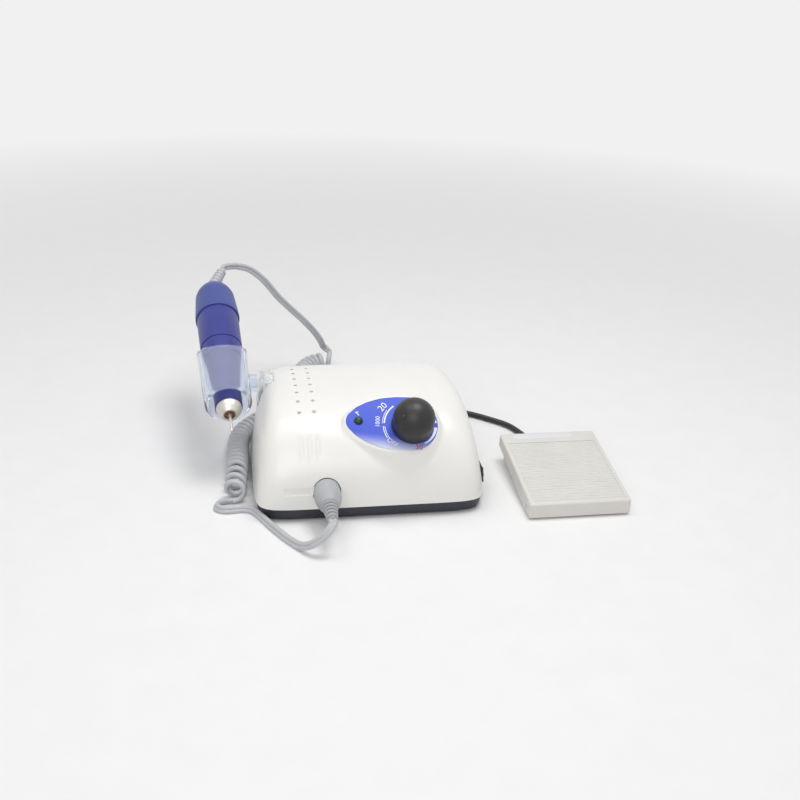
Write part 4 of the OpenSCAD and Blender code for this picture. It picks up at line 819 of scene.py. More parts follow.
def handpiece_cords(plug):
    relief_root = np.array(AT_RELIEF.translation)
    relief_out = unit(np.array(AT_RELIEF.to_3x3() @ Vector((0, 0, 1))))
    relief_end = relief_root + relief_out * (RELIEF_ROOT + RELIEF_L + BEAD)
    inward, onward = curl_heading(0), curl_heading(CURL_TURNS)
    curl_start = curl_ring(0)[0] - CORD_D / 2 * inward
    lead = cord_route(relief_end, relief_out, LEAD_POINTS, curl_start - JOIN_GAP * inward, inward, CORD_D)
    split, level, landing = [
        int(np.argmin(np.linalg.norm(lead - np.array(LEAD_POINTS[i]), axis=1)))
        for i in (LEAD_SPLIT, LEAD_LEVEL, LEAD_LANDING)
    ]
    back, ahead = carried(lead[level::-1], LEAD_FACE), carried(lead[level:], LEAD_FACE)
    lead_thin = np.concatenate([back[:0:-1], ahead])
    twin = twin_section(LEAD_W, LEAD_T)
    upper = cord(
        "lead_upper", lead[:split + 1], twin, lead_thin[:split + 1], LEAD_W, None, "cord_grey",
        "handpiece_lead", "hanging"
    )
    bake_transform(upper)
    lower = cord(
        "lead_lower", lead[split:], twin, lead_thin[split:], LEAD_W, None, "cord_grey", "handpiece_lead",
        "hanging", grow=joining(len(lead) - split)[::-1]
    )
    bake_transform(lower)
    rings = [curl_ring(k / CURL_STEPS) for k in range(int(CURL_STEPS * CURL_TURNS) + 1)]
    curl_end = rings[-1][0] + CORD_D / 2 * onward
    curl = np.array([curl_start, *[r[0] for r in rings], curl_end])
    out = np.array([UP, *[r[1] for r in rings], rings[-1][1]])
    section = flat_section(CURL_W, CURL_T, CURL_POWER, 16)
    cord("curly_lead", curl, section, out, CURL_W, "root", "cord_grey", "curly_cord", "loose")
    end = np.array([SOCKET_X, SOCKET_Y - SOCKET_PROUD - FIT - PLUG_L - BEAD, SOCKET_Z])
    tail = cord_route(curl_end + JOIN_GAP * onward, onward, TAIL_POINTS, end, np.array([0, 1, 0]), CORD_D)
    cord(
        "tail_lead", tail, twin, carried(tail[::-1], UP)[::-1], LEAD_W, "root", "cord_grey", "plug_tail",
        "loose", joining(len(tail))
    )


COIL_TURNS, COIL_RINGS = COIL_LOOPS + (COIL_LAST - COIL_FIRST) / 360 - 1, 48


def coil_ring(turn):
    """The centre of the coiled cord: inwards in the low layer, then outwards in the high one."""
    half = COIL_TURNS / 2
    inward = turn if turn <= half else COIL_TURNS - turn
    r = COIL_R - COIL_STEP * min(inward, half)
    a = math.radians(COIL_FIRST) + 2 * math.pi * turn
    z = COIL_LOW + COIL_LAYER * ease((turn - half + 0.25) / 0.5)
    return np.array([COIL_AT[0] + r * math.cos(a), COIL_AT[1] + r * math.sin(a), z])


def pedal_cords():
    first, last = coil_ring(0), coil_ring(COIL_TURNS)
    coil_in = unit(coil_ring(0.01) - first)
    coil_out = unit(last - coil_ring(COIL_TURNS - 0.01))
    rings = [coil_ring(t) for t in np.linspace(0, COIL_TURNS, int(COIL_RINGS * COIL_TURNS))]
    coil = np.array([first - PEDAL_CORD_D * coil_in, *rings, last + PEDAL_CORD_D * coil_out])
    section = round_section(PEDAL_CORD_D)
    jack_end = np.array([JACK_X, BACK_Y + REAR_PROUD + 2 * FIT + PEDAL_PLUG_L + BEAD, REAR_Z])
    jack = cord_route(
        jack_end, np.array([0, 1, 0]), JACK_POINTS, coil[0] - BEAD * coil_in, coil_in, PEDAL_CORD_D
    )
    gland_end = np.array([GLAND_X, BASE_BACK + FIT + GLAND_OUT + BEAD, GLAND_Z])
    route = cord_route(
        coil[-1] + BEAD * coil_out, coil_out, PEDAL_POINTS, gland_end, np.array([0, -1, 0]), PEDAL_CORD_D
    )
    stretches = {"jack_cord": (jack, "loose"), "pedal_coil": (coil, "coiled"), "pedal_cord": (route, "loose")}
    for node, (path, lay) in stretches.items():
        thin = carried(path, UP)
        cord(node + "_lead", path, section, thin, PEDAL_CORD_D, "root", "cord_black", node, lay)


# Control box
SKIN_EDGE, ROW_SPACING, FLUTE_SPACING, TRAY_SPACING, ANGLE_SPACING = 4.0, 1.15, 0.4, 1.5, 1.0


def skin_rows(spacing, fine_spacing, fine_from, fine_to):
    """Places from left to right: the share of the half width, of the sweep and of the height."""
    turn = 0.5 ** (1 / PLAN_POWER)
    flat = np.linspace(0, turn, 4000)
    falling = np.linspace(turn, 0.02, 4000)[1:]
    u = np.concatenate([flat, (1 - falling ** PLAN_POWER) ** (1 / PLAN_POWER)])
    s = np.concatenate([(1 - flat ** PLAN_POWER) ** (1 / PLAN_POWER), falling])
    u, s = np.concatenate([-u[:0:-1], u]), np.concatenate([s[:0:-1], s])
    x, y = u * BOX_W / 2, s * FRONT_SWEEP
    fine = (x > fine_from) & (x < fine_to)
    steps = np.hypot(np.diff(x), np.diff(y)) / np.where(fine[1:], fine_spacing, spacing)
    sums = np.concatenate([[0], np.cumsum(steps)])
    picks = np.linspace(0, sums[-1], int(sums[-1]))
    rows = np.searchsorted(sums, picks).clip(0, len(u) - 1)
    u, s = u[rows], s[rows]
    rise = -np.expm1(END_POWER / PLAN_POWER * np.log1p(-np.minimum(s, 1 - 1e-12) ** PLAN_POWER))
    return u, s, rise ** (1 / END_POWER)


def soft_min(a, b, k):
    gap = np.maximum(k - np.abs(a - b), 0) / k
    return np.minimum(a, b) - gap * gap * k / 4


def skin_points(u, s, e, angle, inset):
    """Points of the skin: rows across the box by angles from the front rim over the top to the back rim."""
    c, q = np.cos(angle), np.sin(angle)
    front = angle <= math.pi / 2
    power = np.where(front, FRONT_POWER, BACK_POWER)
    reach = np.abs(c) ** (2 / power)
    rise = np.abs(q) ** (2 / power)
    u, s, e = u[:, None], s[:, None], e[:, None]
    limit = CREST_BACK + (BACK_Y - CREST_BACK) * e - inset
    ahead = CREST_BACK - (FRONT_SWEEP - inset) * s * reach
    behind = soft_min(CREST_BACK + (BACK_SWEEP - inset) * s * reach, limit, SKIN_EDGE)
    y = np.where(front, ahead, np.maximum(behind, CREST_BACK))
    z = SEAM + (SHELL_H - inset) * e * rise
    x = u * side_x(y, z, inset)
    return np.stack([x, y, z], axis=-1)


def skin_angles():
    """Angles that are evenly spaced along the middle of the box."""
    angle = np.linspace(0, math.pi, 20001)
    one = np.ones(1)
    sums = sums_along(skin_points(0 * one, one, one, angle, 0)[0])
    return np.interp(np.linspace(0, sums[-1], int(sums[-1] / ANGLE_SPACING)), sums, angle)


def capsule(x, y, first, last):
    """Distance from the outline around two circles on the x axis; each is (place, radius)."""
    h = last[0] - first[0]
    b = (first[1] - last[1]) / h
    a = math.sqrt(1 - b * b)
    p, q = np.abs(y), x - first[0]
    k = -b * p + a * q
    middle = a * p + b * q - first[1]
    beyond = np.where(k > a * h, np.hypot(p, q - h) - last[1], middle)
    return np.where(k < 0, np.hypot(p, q) - first[1], beyond)


def egg_distance(x, y):
    c, s = math.cos(EGG_TURN), math.sin(EGG_TURN)
    along, across = c * x + s * y, c * y - s * x
    return np.minimum.reduce([capsule(along, across, a, b) for a, b in zip(EGG, EGG[1:])])


def egg_outline(grow, count=240):
    """The panel's outline moved out by grow, found along rays from inside it."""
    c, s = math.cos(EGG_TURN), math.sin(EGG_TURN)
    middle = np.array([c, s]) * LAMP_OFFSET / 3
    angles = full_turn(count)
    ray = np.stack([np.cos(angles), np.sin(angles)], axis=1)
    low, high = np.zeros(count), np.full(count, 60.0)
    for _ in range(40):
        half = (low + high) / 2
        spot = middle + ray * half[:, None]
        inside = egg_distance(spot[:, 0], spot[:, 1]) < grow
        low, high = np.where(inside, half, low), np.where(inside, high, half)
    return middle + ray * low[:, None]


def with_boss(points):
    """The skin raised smoothly to the panel's boss."""
    soft_rim, blend_width, far = 0.12, 3.2, 4.0
    local = placed(points, AT_PANEL.inverted())
    x, y, h = local[:, 0], local[:, 1], local[:, 2]
    low, high = np.full(len(x), -1.0), np.full(len(x), far)
    for _ in range(24):
        half = (low + high) / 2
        inside = egg_distance(x, y + BOSS_SHIFT * half) < BOSS_RIM + BOSS_FLARE * half
        low, high = np.where(inside, low, half), np.where(inside, half, high)
    drop = (low + np.sqrt(low * low + soft_rim * soft_rim)) / 2
    raised = -soft_min(-h, BOSS_DROP * drop, blend_width)
    local[:, 2] = np.where(low < far - 0.1, raised, h)
    return placed(local, AT_PANEL)


FLUTE_X, FLUTE_PITCH, FLUTE_HALF, FLUTE_DEEP = -39.8, 5.2, 2.0, 0.9
FLUTE_TOP_Y, FLUTE_END_Z = -35.2, 37.4


def with_flutes(points):
    """Three soft grooves over the front shoulder."""
    x, y, z = points.T
    low, high = front_y(FLUTE_END_Z), FLUTE_TOP_Y
    t = np.clip((y - low) / (high - low), 0, 1)
    along = ease(t / 0.3) * ease((1 - t) / 0.3)
    nearest = FLUTE_X + FLUTE_PITCH * np.clip(np.round((x - FLUTE_X) / FLUTE_PITCH), -1, 1)
    across = np.clip(np.abs(x - nearest) / FLUTE_HALF, 0, 1)
    deep = FLUTE_DEEP * along * (0.5 + 0.5 * np.cos(np.pi * across)) * (y < high) * (z > SEAM)
    ny = -(np.maximum(CREST_BACK - y, 0) / FRONT_SWEEP) ** (FRONT_POWER - 1) / FRONT_SWEEP
    nz = (np.maximum(z - SEAM, 0) / SHELL_H) ** (FRONT_POWER - 1) / SHELL_H
    size = np.maximum(np.hypot(ny, nz), 1e-9)
    return points - np.stack([0 * x, deep * ny / size, deep * nz / size], axis=1)


def shell_solid():
    """The moulded shell: outer skin with boss and flutes, inner skin and the rim between them."""
    angle = skin_angles()
    u, s, e = skin_rows(ROW_SPACING, FLUTE_SPACING, FLUTE_X - 9, FLUTE_X + 9)
    rows, columns = len(u), len(angle)
    ends = [(-side_x(CREST_BACK, SEAM), CREST_BACK, SEAM), (side_x(CREST_BACK, SEAM), CREST_BACK, SEAM)]
    outer = with_flutes(with_boss(skin_points(u, s, e, angle, 0).reshape(-1, 3)))
    inner = skin_points(u, s, e, angle, WALL).reshape(-1, 3)
    inner_ends = [(x - math.copysign(WALL, x), y, z) for x, y, z in ends]
    size = rows * columns
    faces = []
    for base, flip in ((0, 1), (size + 2, -1)):
        for i in range(rows - 1):
            for k in range(columns - 1):
                a = base + i * columns + k
                faces.append((a, a + 1, a + columns + 1, a + columns)[::flip])
        for row, tip in ((0, base + size), (rows - 1, base + size + 1)):
            for k in range(columns - 1):
                a = base + row * columns + k
                faces.append((a, a + 1, tip))
    rim = [i * columns for i in range(rows)] + [size + 1]
    rim += [i * columns + columns - 1 for i in reversed(range(rows))] + [size]
    for a, b in zip(rim, rim[1:] + rim[:1]):
        faces.append((a, b, b + size + 2, a + size + 2))
    return np.concatenate([outer, ends, inner, inner_ends]), faces


VENT_X, VENT_COLUMNS, VENT_FIRST, VENT_PITCH, VENT_ROWS, VENT_R = -40.1, 9.6, -20.6, 10.4, 7, 1.2
PLATE_X, PLATE_Z, PLATE_DEEP = (-57, -37.5), (18.8, 23.9), 0.5
PANEL_HOLE, SCREW_HOLE = (-9, 3), (SEAM - 1, SEAM + 11)


def vent_cutters():
    flare = 0.35
    for x in (-1, 1):
        for row in range(VENT_ROWS):
            y = VENT_FIRST + row * VENT_PITCH
            back = min(1, (abs(y - CREST_BACK) / BACK_SWEEP)) ** BACK_POWER
            z = top_z(y) if y < CREST_BACK else SEAM + SHELL_H * (1 - back) ** (1 / BACK_POWER)
            low, high, mouth_r = SEAM + SHELL_H / 2, z + 4, VENT_R + flare
            profile = [
                (0, low), (VENT_R, low), (VENT_R, z - flare), (mouth_r, z + flare), (mouth_r, high), (0, high)
            ]
            yield lathe(profile, moved(VENT_X + x * VENT_COLUMNS / 2, y, 0), steps=32)


def name_plate_cutter():
    """A shallow recess that follows the front, left bare."""
    soft = 0.8
    (x0, x1), (z0, z1) = PLATE_X, PLATE_Z
    outline = filleted([(x0, z0, soft), (x1, z0, soft), (x1, z1, soft), (x0, z1, soft)])
    rings = []
    for offset in (-1.0, PLATE_DEEP):
        ring = []
        for x, z in outline:
            u = abs(x) / side_x(front_y(z), z)
            s = (1 - u ** PLAN_POWER) ** (1 / PLAN_POWER)
            ring.append((x, CREST_BACK - (CREST_BACK - front_y(z)) * s + offset, z))
        rings.append(ring)
    return stacked(rings)


def bracket_plates(grow):
    width = BRACKET_W + 2 * grow
    upright = (BRACKET_T + 2 * grow, width, BRACKET_UP + BRACKET_DOWN + 2 * grow)
    lip = (BRACKET_REACH + 2 * grow, width, BRACKET_TOP_T + 2 * grow)
    return (
        block(upright, -BRACKET_DOWN - grow, AT_BRACKET @ moved(BRACKET_T / 2, 0, 0), 0.6),
        block(lip, BRACKET_UP - BRACKET_TOP_T - grow, AT_BRACKET @ moved(BRACKET_REACH / 2, 0, 0), 0.6),
    )


def upper_shell():
    posts = joined(*[drum(POST_R, SEAM, SEAM + POST_H, moved(x, y, 0)) for x, y in POSTS])
    openings = [
        drum(BUSHING_R + FIT, *PANEL_HOLE, AT_KNOB), drum(LAMP_R + FIT, *PANEL_HOLE, AT_LAMP),
        drum(SOCKET_R + FIT, -4 * WALL, 2 * WALL, AT_SOCKET, 96),
        block((SWITCH_BODY[0] + FIT, SWITCH_BODY[1] + FIT, 6 * WALL), -4 * WALL, AT_SWITCH),
        block((INLET_BODY[0] + FIT, INLET_BODY[1] + FIT, 4 * WALL), -2 * WALL, at_rear(INLET_X), 1.5),
        drum(FUSE_R + FIT, -2 * WALL, 2 * WALL, at_rear(FUSE_X)),
        drum(JACK_R + FIT, -2 * WALL, 2 * WALL, at_rear(JACK_X)),
        name_plate_cutter(), *vent_cutters(),
    ]
    openings += [drum(SCREW_R, *SCREW_HOLE, moved(x, y, 0), 24) for x, y in POSTS]
    shell = cut(fused(shell_solid(), posts), joined(*openings), *bracket_plates(FIT))
    piece("shell", shell, "root", "white_plastic", "upper_shell", 30)


def tray_outline(inset):
    u, s, e = skin_rows(TRAY_SPACING, TRAY_SPACING, 0, 0)
    points = skin_points(u, s, e, np.array([0, math.pi]), inset)
    return np.concatenate([points[:, 0, :2], points[::-1, 1, :2]])


def base_tray():
    soft, steps = 0.9, 6
    outline = tray_outline(SEAM_STEP)
    rings = []

    def ring(z, inset):
        share = (SEAM - z) / TRAY_H
        less = 2 * TRAY_DRAW * share + 2 * inset
        shrink = np.array([1 - less / BOX_W, 1 - less / BOX_D])
        return np.column_stack([outline * shrink, np.full(len(outline), z)])

    inner = tray_outline(TRAY_DRAW + WALL)
    floor_z = FOOT_H + TRAY_FLOOR
    for z in (floor_z, SEAM - 0.4, SEAM):
        rings.append(np.column_stack([inner, np.full(len(inner), z)]))
    rings += [ring(SEAM, 0.3), ring(SEAM - 0.3, 0), ring(SEAM - 2.5, 0)]
    for t in np.linspace(0, math.pi / 2, steps):
        rings.append(ring(FOOT_H + soft * (1 - math.sin(t)), soft * (1 - math.cos(t))))
    posts = joined(*[drum(POST_R + 1, FOOT_H + 1, SEAM - FIT, moved(x, y, 0)) for x, y in POSTS])
    head_r, hole_r, step = SCREW_HEAD_R + FIT, SCREW_R + FIT, FOOT_H + SCREW_HEAD_H + FIT
    low, high = FOOT_H - 1, SEAM + 1
    profile = [(0, low), (head_r, low), (head_r, step), (hole_r, step), (hole_r, high), (0, high)]
    holes = joined(*[lathe(profile, moved(x, y, 0), steps=32) for x, y in POSTS])
    piece("tray", cut(fused(stacked(rings), posts), holes), "root", "dark_plastic", "base_tray", 40)


# Control panel: bands of print round the knob, by inner radius, then outer radius and angle at both ends
DIAL_BANDS = [
    (17.5, (18.4, 126), (18.4, 172)), (19.0, (19.35, 142), (19.35, 173)), (17.3, (17.75, 179), (17.75, 208)),
    (18.35, (18.9, 179), (18.9, 206)), (14.2, (15.2, -63), (16.2, -8)), (15.2, (16.2, 4), (16.2, 12))
]
# Strokes of the lamp's mark: length, place from the lamp and turn
LAMP_MARK = [(2.6, (0.6, -5), 0.7), (2.2, (1.2, -6.2), -1.2)]
# Words on the dial: text, height, place from the knob's axis, turn in degrees and colour
DIAL_WORDS = {
    "dial_20": ("20", 6.2, (-17.6, 14.1), 46, "print_white"),
    "dial_1000": ("1000", 4, (-21.8, 3.7), 83, "print_white"),
    "dial_off": ("OFF", 4.4, (-13.9, -11.5), -40, "print_white"),
    "dial_30": ("30", 4.8, (2.6, -15.7), -8, "print_red"),
}


def band(r_in, starts, ends, count=24):
    """A band round the knob that may widen from starts = (radius, angle) to ends."""
    angles = np.radians(np.linspace(starts[1], ends[1], count))
    radii = np.linspace(starts[0], ends[0], count)
    outer = [polar(r, a) for r, a in zip(radii, angles)]
    return outer + [polar(r_in, a) for a in angles[::-1]]


def printed(name, text, size, spot, turn, finish):
    """A plain dial number or switch word on the panel."""
    curve = bpy.data.curves.new(name, "FONT")
    curve.body = text
    curve.size = size * MM
    curve.extrude = 0.02 * MM
    curve.align_x = "CENTER"
    curve.align_y = "CENTER"
    source = shown(name + "_curve", curve)
    graph = bpy.context.evaluated_depsgraph_get()
    points, faces = solid_of(bpy.data.meshes.new_from_object(source.evaluated_get(graph)))
    bpy.data.objects.remove(source)
    place = AT_KNOB @ moved(*spot, PANEL_T + 0.03) @ turned(math.radians(turn), "Z")
    piece(name, (placed(points, place), faces), "root", "blue_panel", finish=finish)


def dome(r, low, first, count):
    """A (radius, height) profile over a ball's upper part, closed on its axis."""
    profile = arc(r, first, math.pi / 2, count, (0, low))
    return profile[:-1] + [(0, profile[-1][1])]


def control_panel():
    plate = pill(egg_outline, -0.4, PANEL_T, 0.25, AT_PANEL)
    piece("panel_film", plate, "root", "blue_panel", "control_panel")
    low, high, stroke = PANEL_T - 0.05, PANEL_T + 0.04, 0.6
    white = [slab(band(*ends), low, high, AT_KNOB) for ends in DIAL_BANDS]
    for length, spot, turn in LAMP_MARK:
        white.append(block((stroke, length, high - low), low, AT_LAMP @ moved(*spot, 0) @ turned(turn, "Z")))
    piece("panel_scale", joined(*white), "root", "blue_panel", finish="print_white")
    for name, values in DIAL_WORDS.items():
        printed(name, *values)
    foot = -2.5
    lens = [(0, foot), (LAMP_R, foot), *dome(LAMP_R, PANEL_T, 0, 14)]
    piece("lamp_lens", lathe(lens, AT_LAMP, steps=48), "root", "lamp_green", "power_lamp", 60)
    low = PANEL_T - 0.1
    ring = filleted([
        (LAMP_R + 0.05, low), (LAMP_R + 0.05, PANEL_T + 0.35, 0.1), (LAMP_R + 0.5, PANEL_T + 0.3, 0.2),
        (LAMP_R + 0.6, low)
    ])
    piece("lamp_ring", lathe(ring, AT_LAMP, True, 48), "root", "lamp_green", finish="black_plastic")


def speed_knob():
    top, hollow_r, hollow_z = KNOB_LOW + KNOB_SKIRT, 8, 5
    profile = [
        (0, hollow_z), (hollow_r, hollow_z), (hollow_r, KNOB_LOW), (KNOB_R - 0.1, KNOB_LOW),
        (KNOB_R + 0.1, KNOB_LOW + 0.35), (KNOB_R, KNOB_LOW + 1.2), (KNOB_R, top - 0.2),
        *dome(KNOB_R, top, 0.05, 40)
    ]
    high = math.sqrt(KNOB_R ** 2 - POINTER_OFF ** 2)
    nub_at = AT_KNOB @ turned(POINTER_ANGLE, "Z") @ moved(POINTER_OFF, 0, top + high)
    nub = [(0, -POINTER_R), *arc(POINTER_R, -math.pi / 2, math.pi / 2, 16)[1:-1], (0, POINTER_R)]
    knob = fused(lathe(profile, AT_KNOB, steps=128), lathe(nub, nub_at, steps=32))
    piece("knob_cap", knob, "knob", "knob_black", "speed_knob", 40)


# Socket and plug
def socket_and_plug():
    bore, flange_r, nose_z = SOCKET_R - 1.2, SOCKET_R + 2.2, SOCKET_PROUD - PLUG_NOSE
    flange_z, back_z = -10, -12
    socket = filleted([
        (bore, nose_z - 1), (bore, SOCKET_FACE, 0.25), (SOCKET_R, SOCKET_FACE, 0.3), (SOCKET_R, flange_z),
        (flange_r, flange_z), (flange_r, back_z), (bore, back_z)
    ])
    # The socket ring is black so that the gap round the plug's top shows dark: painted shade in the opening.
    piece("socket_ring", lathe(socket, AT_SOCKET, True), "root", "black_plastic", "socket_body")
    start = SOCKET_PROUD + FIT
    shoulder, end = start + PLUG_GRIP, start + PLUG_L
    waist = shoulder + PLUG_TAPER
    face, rim_r = SOCKET_FACE + FIT, SOCKET_R - 0.3
    profile = filleted([
        (0, nose_z), (bore - FIT, nose_z, 0.4), (bore - FIT, face), (rim_r, face, 0.3), (rim_r, start + 3, 3),
        (PLUG_R, shoulder, 4), (PLUG_WAIST_R + 0.9, waist, 2),
        *ribs(waist, end, PLUG_RIBS, (PLUG_WAIST_R, PLUG_END_R), 1.6, PLUG_RIB), (0, end)
    ], False)
    return piece("plug_boot", lathe(profile, AT_SOCKET), "root", "grey_plastic", "handpiece_plug", 50)


# Holder
PEG_R, PEG_L, PEG_INSET = 1.5, 4.6, 2.4


def holder_bracket():
    plate, lip = [bevelled(solid, 0.5) for solid in bracket_plates(0)]
    peg_at = AT_BRACKET @ moved(BRACKET_REACH - PEG_INSET, 0, BRACKET_UP - FIT)
    peg = lathe(filleted([(0, 0), (PEG_R, 0), (PEG_R, PEG_L, 0.6), (0, PEG_L)], False), peg_at, steps=32)
    pin = drum(PIVOT_R, -BRACKET_T / 2, ARM_GAP + ARM_L - FIT, AT_PIVOT)
    piece("bracket", fused(plate, lip, peg, pin), "root", "clear_plastic", "holder_bracket", 40)


def cradle():
    """A frosted half cup round the handpiece, with rounded rims, on a ribbed arm."""
    count, soft = 120, 1.1
    span = CRADLE_LOW + CRADLE_FRONT
    rings = []
    for angle in full_turn(count):
        corners = []
        for low, high in (CRADLE_IN, CRADLE_OUT):
            r = low
            for _ in range(6):
                z = CRADLE_SLOPE * r * math.sin(angle) - CRADLE_BACK
                r = low + (high - low) * (z + CRADLE_LOW) / span
            corners.append((r, z, soft))
        corners += [(CRADLE_OUT[1], CRADLE_FRONT, soft), (CRADLE_IN[1], CRADLE_FRONT, soft)]
        rings.append([(*polar(r, angle), z) for r, z in filleted(corners)])
    points, faces = skin_of(np.array(rings), closed_along=True)
    cup = placed(points, AT_HAND), faces
    turns = full_turn(12 * ARM_RIBS)
    radii = ARM_R - ARM_RIB_H * (0.5 - 0.5 * np.cos(ARM_RIBS * turns))
    splines = [polar(r, t) for t, r in zip(turns, radii)]
    arm = slab(splines, ARM_GAP, ARM_GAP + ARM_L + 1, AT_PIVOT)
    foot = bevelled(block((ARM_BLOCK_W, ARM_BLOCK_W, ARM_BLOCK), ARM_GAP + ARM_L, AT_PIVOT, 1.5), 0.6)
    room_low, room_r, room_back_r = -60, 16.5, 15.4
    room = lathe([
        (0, room_low), (room_r, room_low), (room_back_r, -CRADLE_LOW), (CRADLE_IN[1] + 0.4, CRADLE_FRONT),
        (0, CRADLE_FRONT + 9)
    ], AT_HAND)
    hole = drum(PIVOT_R + 0.05, -1, ARM_GAP + ARM_L - 0.01, AT_PIVOT)
    solid = fused(cup, cut(fused(arm, foot), room, hole))
    piece("cradle_cup", solid, "cradle", "frosted_plastic", "cradle", 40)


# Handpiece: radii of its parts, from the rear to the front
HAND_BORE, HAND_SEAM = 12.6, 0.3
CAP_R, CAP_FOOT_R, CAP_NECK_R, CAP_HOLE_R, CAP_DOME, CAP_POWER = 15.75, 14.3, 5.6, 4.2, 15, 1.55
GRIP_BACK_R, GRIP_FRONT_R, GRIP_HOLE_R, GRIP_END = 14.9, 14.5, 9.2, 1.8
SLEEVE_BACK_R, SLEEVE_FRONT_R, SLEEVE_BORE = 14.1, 12.6, 9.05
COLLAR_R, COLLAR_TAPER_R, COLLAR_FRONT_R, COLLAR_STEM_R, COLLAR_BORE = 12.3, 9.5, 9.1, 9, 4
NOSE_R, NOSE_STEM_R, NOSE_STEM, NOSE_BORE = 8.5, 6.4, 5, 3.7


def turned_part(name, corners, body, slot, node, crease=50, finish=None):
    """A ring round the handpiece's axis, from the (radius, height, fillet) corners of its section."""
    piece(name, lathe(filleted(corners), AT_HAND, True, 128), body, slot, node, crease, finish)


def handpiece():
    blue = "handpiece_blue"
    cap_end, cap_front, stem_back = CAP_BACK + CAP_SHORT, BODY_BACK - HAND_SEAM, BODY_FRONT - GRIP_END
    bulge = [
        (
            CAP_NECK_R + (CAP_FOOT_R - CAP_NECK_R) * math.cos(t) ** (2 / CAP_POWER),
            cap_end + CAP_DOME * (1 - math.sin(t) ** (2 / CAP_POWER))
        )
        for t in np.linspace(math.pi / 2, 0, 20)
    ]
    turned_part("rear_cap", [
        (CAP_HOLE_R, cap_end + 6), (CAP_HOLE_R, cap_end, 0.3), *bulge, (CAP_R, BODY_BACK - 4, 6),
        (CAP_R, cap_front, 0.6), (HAND_BORE, cap_front, 0.2), (HAND_BORE, cap_end + 16)
    ], "handpiece", blue, "handpiece_cap", finish="cap_blue")
    turned_part("grip", [
        (HAND_BORE, BODY_BACK), (GRIP_BACK_R, BODY_BACK, 0.5), (GRIP_FRONT_R, BODY_FRONT, 0.7),
        (GRIP_HOLE_R, BODY_FRONT), (GRIP_HOLE_R, stem_back), (HAND_BORE, stem_back)
    ], "handpiece", blue, "handpiece_body")
    low, high = BODY_FRONT + HAND_SEAM, SLEEVE_FRONT - HAND_SEAM
    turned_part("sleeve_ring", [
        (SLEEVE_BORE, low), (SLEEVE_BACK_R, low, 0.5), (SLEEVE_FRONT_R, high, 0.5), (SLEEVE_BORE, high)
    ], "sleeve", blue, "twist_sleeve")
    turned_part("collar", [
        (COLLAR_BORE, stem_back), (COLLAR_STEM_R, stem_back), (COLLAR_STEM_R, SLEEVE_FRONT),
        (COLLAR_R, SLEEVE_FRONT, 0.4), (COLLAR_TAPER_R, TAPER_END, 9), (COLLAR_FRONT_R, NOSE_BACK, 0.4),
        (COLLAR_BORE, NOSE_BACK)
    ], "handpiece", blue, "front_collar", finish="collar_blue")
    low = NOSE_BACK - NOSE_STEM
    turned_part("nose", [
        (NOSE_BORE, low), (NOSE_STEM_R, low), (NOSE_STEM_R, NOSE_BACK), (NOSE_R, NOSE_BACK, 0.25),
        (NOSE_R, NOSE_BACK + 1.2, 0.3), (7.7, NOSE_BACK + 3.7, 1.2), (5.3, NOSE_FRONT - 0.4, 0.4),
        (4.9, NOSE_FRONT, 0.2), (NOSE_BORE, NOSE_FRONT, 0.3)
    ], "handpiece", "nose_metal", "metal_nose", 40)


def handpiece_relief():
    low, high, stem_r, stem = 2.5 - CAP_SHORT, RELIEF_ROOT + RELIEF_L, RELIEF_R - 1, 6
    profile = filleted([
        (0, low - stem), (stem_r, low - stem), (stem_r, low - 1, 0.8), (RELIEF_R - 0.3, low - 0.5, 0.4),
        *ribs(low, high, RELIEF_RIBS, (RELIEF_R, RELIEF_TIP_R), 0.8, RELIEF_RIB), (0, high)
    ], False)
    relief = lathe(profile, AT_RELIEF, steps=64)
    piece("bend_relief", relief, "handpiece", "cord_grey", "handpiece_relief", 60)


# Foot pedal
TREAD_RISE = (TREAD_BACK_Z - TREAD_FRONT_Z) / (PEDAL_BACK - PEDAL_FRONT)
HINGE_PLAY, GLAND_RIBS, GLAND_TIP_R = 0.05, 5, 2.7
LABEL_HALF, LABEL_R, LABEL_Y, LABEL_SHIFT = 18.5, 3.1, 9.9, -4


def prism(profile, width):
    """A (y, z) profile across the pedal."""
    sides = (PEDAL_X - width / 2, PEDAL_X + width / 2)
    return stacked([[(x, y, z) for y, z in profile] for x in sides])


def tread_z(y):
    return TREAD_FRONT_Z + (y - PEDAL_FRONT) * TREAD_RISE


def hinge_hole():
    axis = moved(PEDAL_X, HINGE_Y, HINGE_Z) @ turned(math.pi / 2, "Y")
    return drum(HINGE_R + HINGE_PLAY, -PEDAL_W, PEDAL_W, axis, 32)


def pedal_tread():
    front, back, hip = PEDAL_FRONT, PEDAL_BACK, HINGE_Y + 6
    outer = bevelled(prism([
        (front, TREAD_LOW), (front, TREAD_FRONT_Z), (back, TREAD_BACK_Z), (back, TREAD_BACK_Z - SKIRT_H),
        (hip, TREAD_LOW)
    ], PEDAL_W), 1.5, 5)
    inner_front, inner_back, below = front + TREAD_WALL, back - TREAD_WALL, -3
    inner = prism([
        (inner_front, below), (inner_front, tread_z(inner_front) - TREAD_WALL - PAD_T),
        (inner_back, tread_z(inner_back) - TREAD_WALL - PAD_T), (inner_back, below)
    ], PEDAL_W - 2 * TREAD_WALL)
    pocket_front, pocket_back, above = front + PAD_MARGIN - FIT, back - PAD_BACK + FIT, TREAD_BACK_Z + 5
    pocket = prism([
        (pocket_front, tread_z(pocket_front) - PAD_T), (pocket_back, tread_z(pocket_back) - PAD_T),
        (pocket_back, above), (pocket_front, above)
    ], PEDAL_W - 2 * PAD_MARGIN + FIT)
    notch = block((2 * NOTCH_R, 8, NOTCH_TOP + 4), -4, moved(GLAND_X, back, 0))
    cover = cut(outer, inner, pocket, hinge_hole(), notch)
    piece("tread_cover", cover, "tread", "pedal_grey", "pedal_tread", 30)


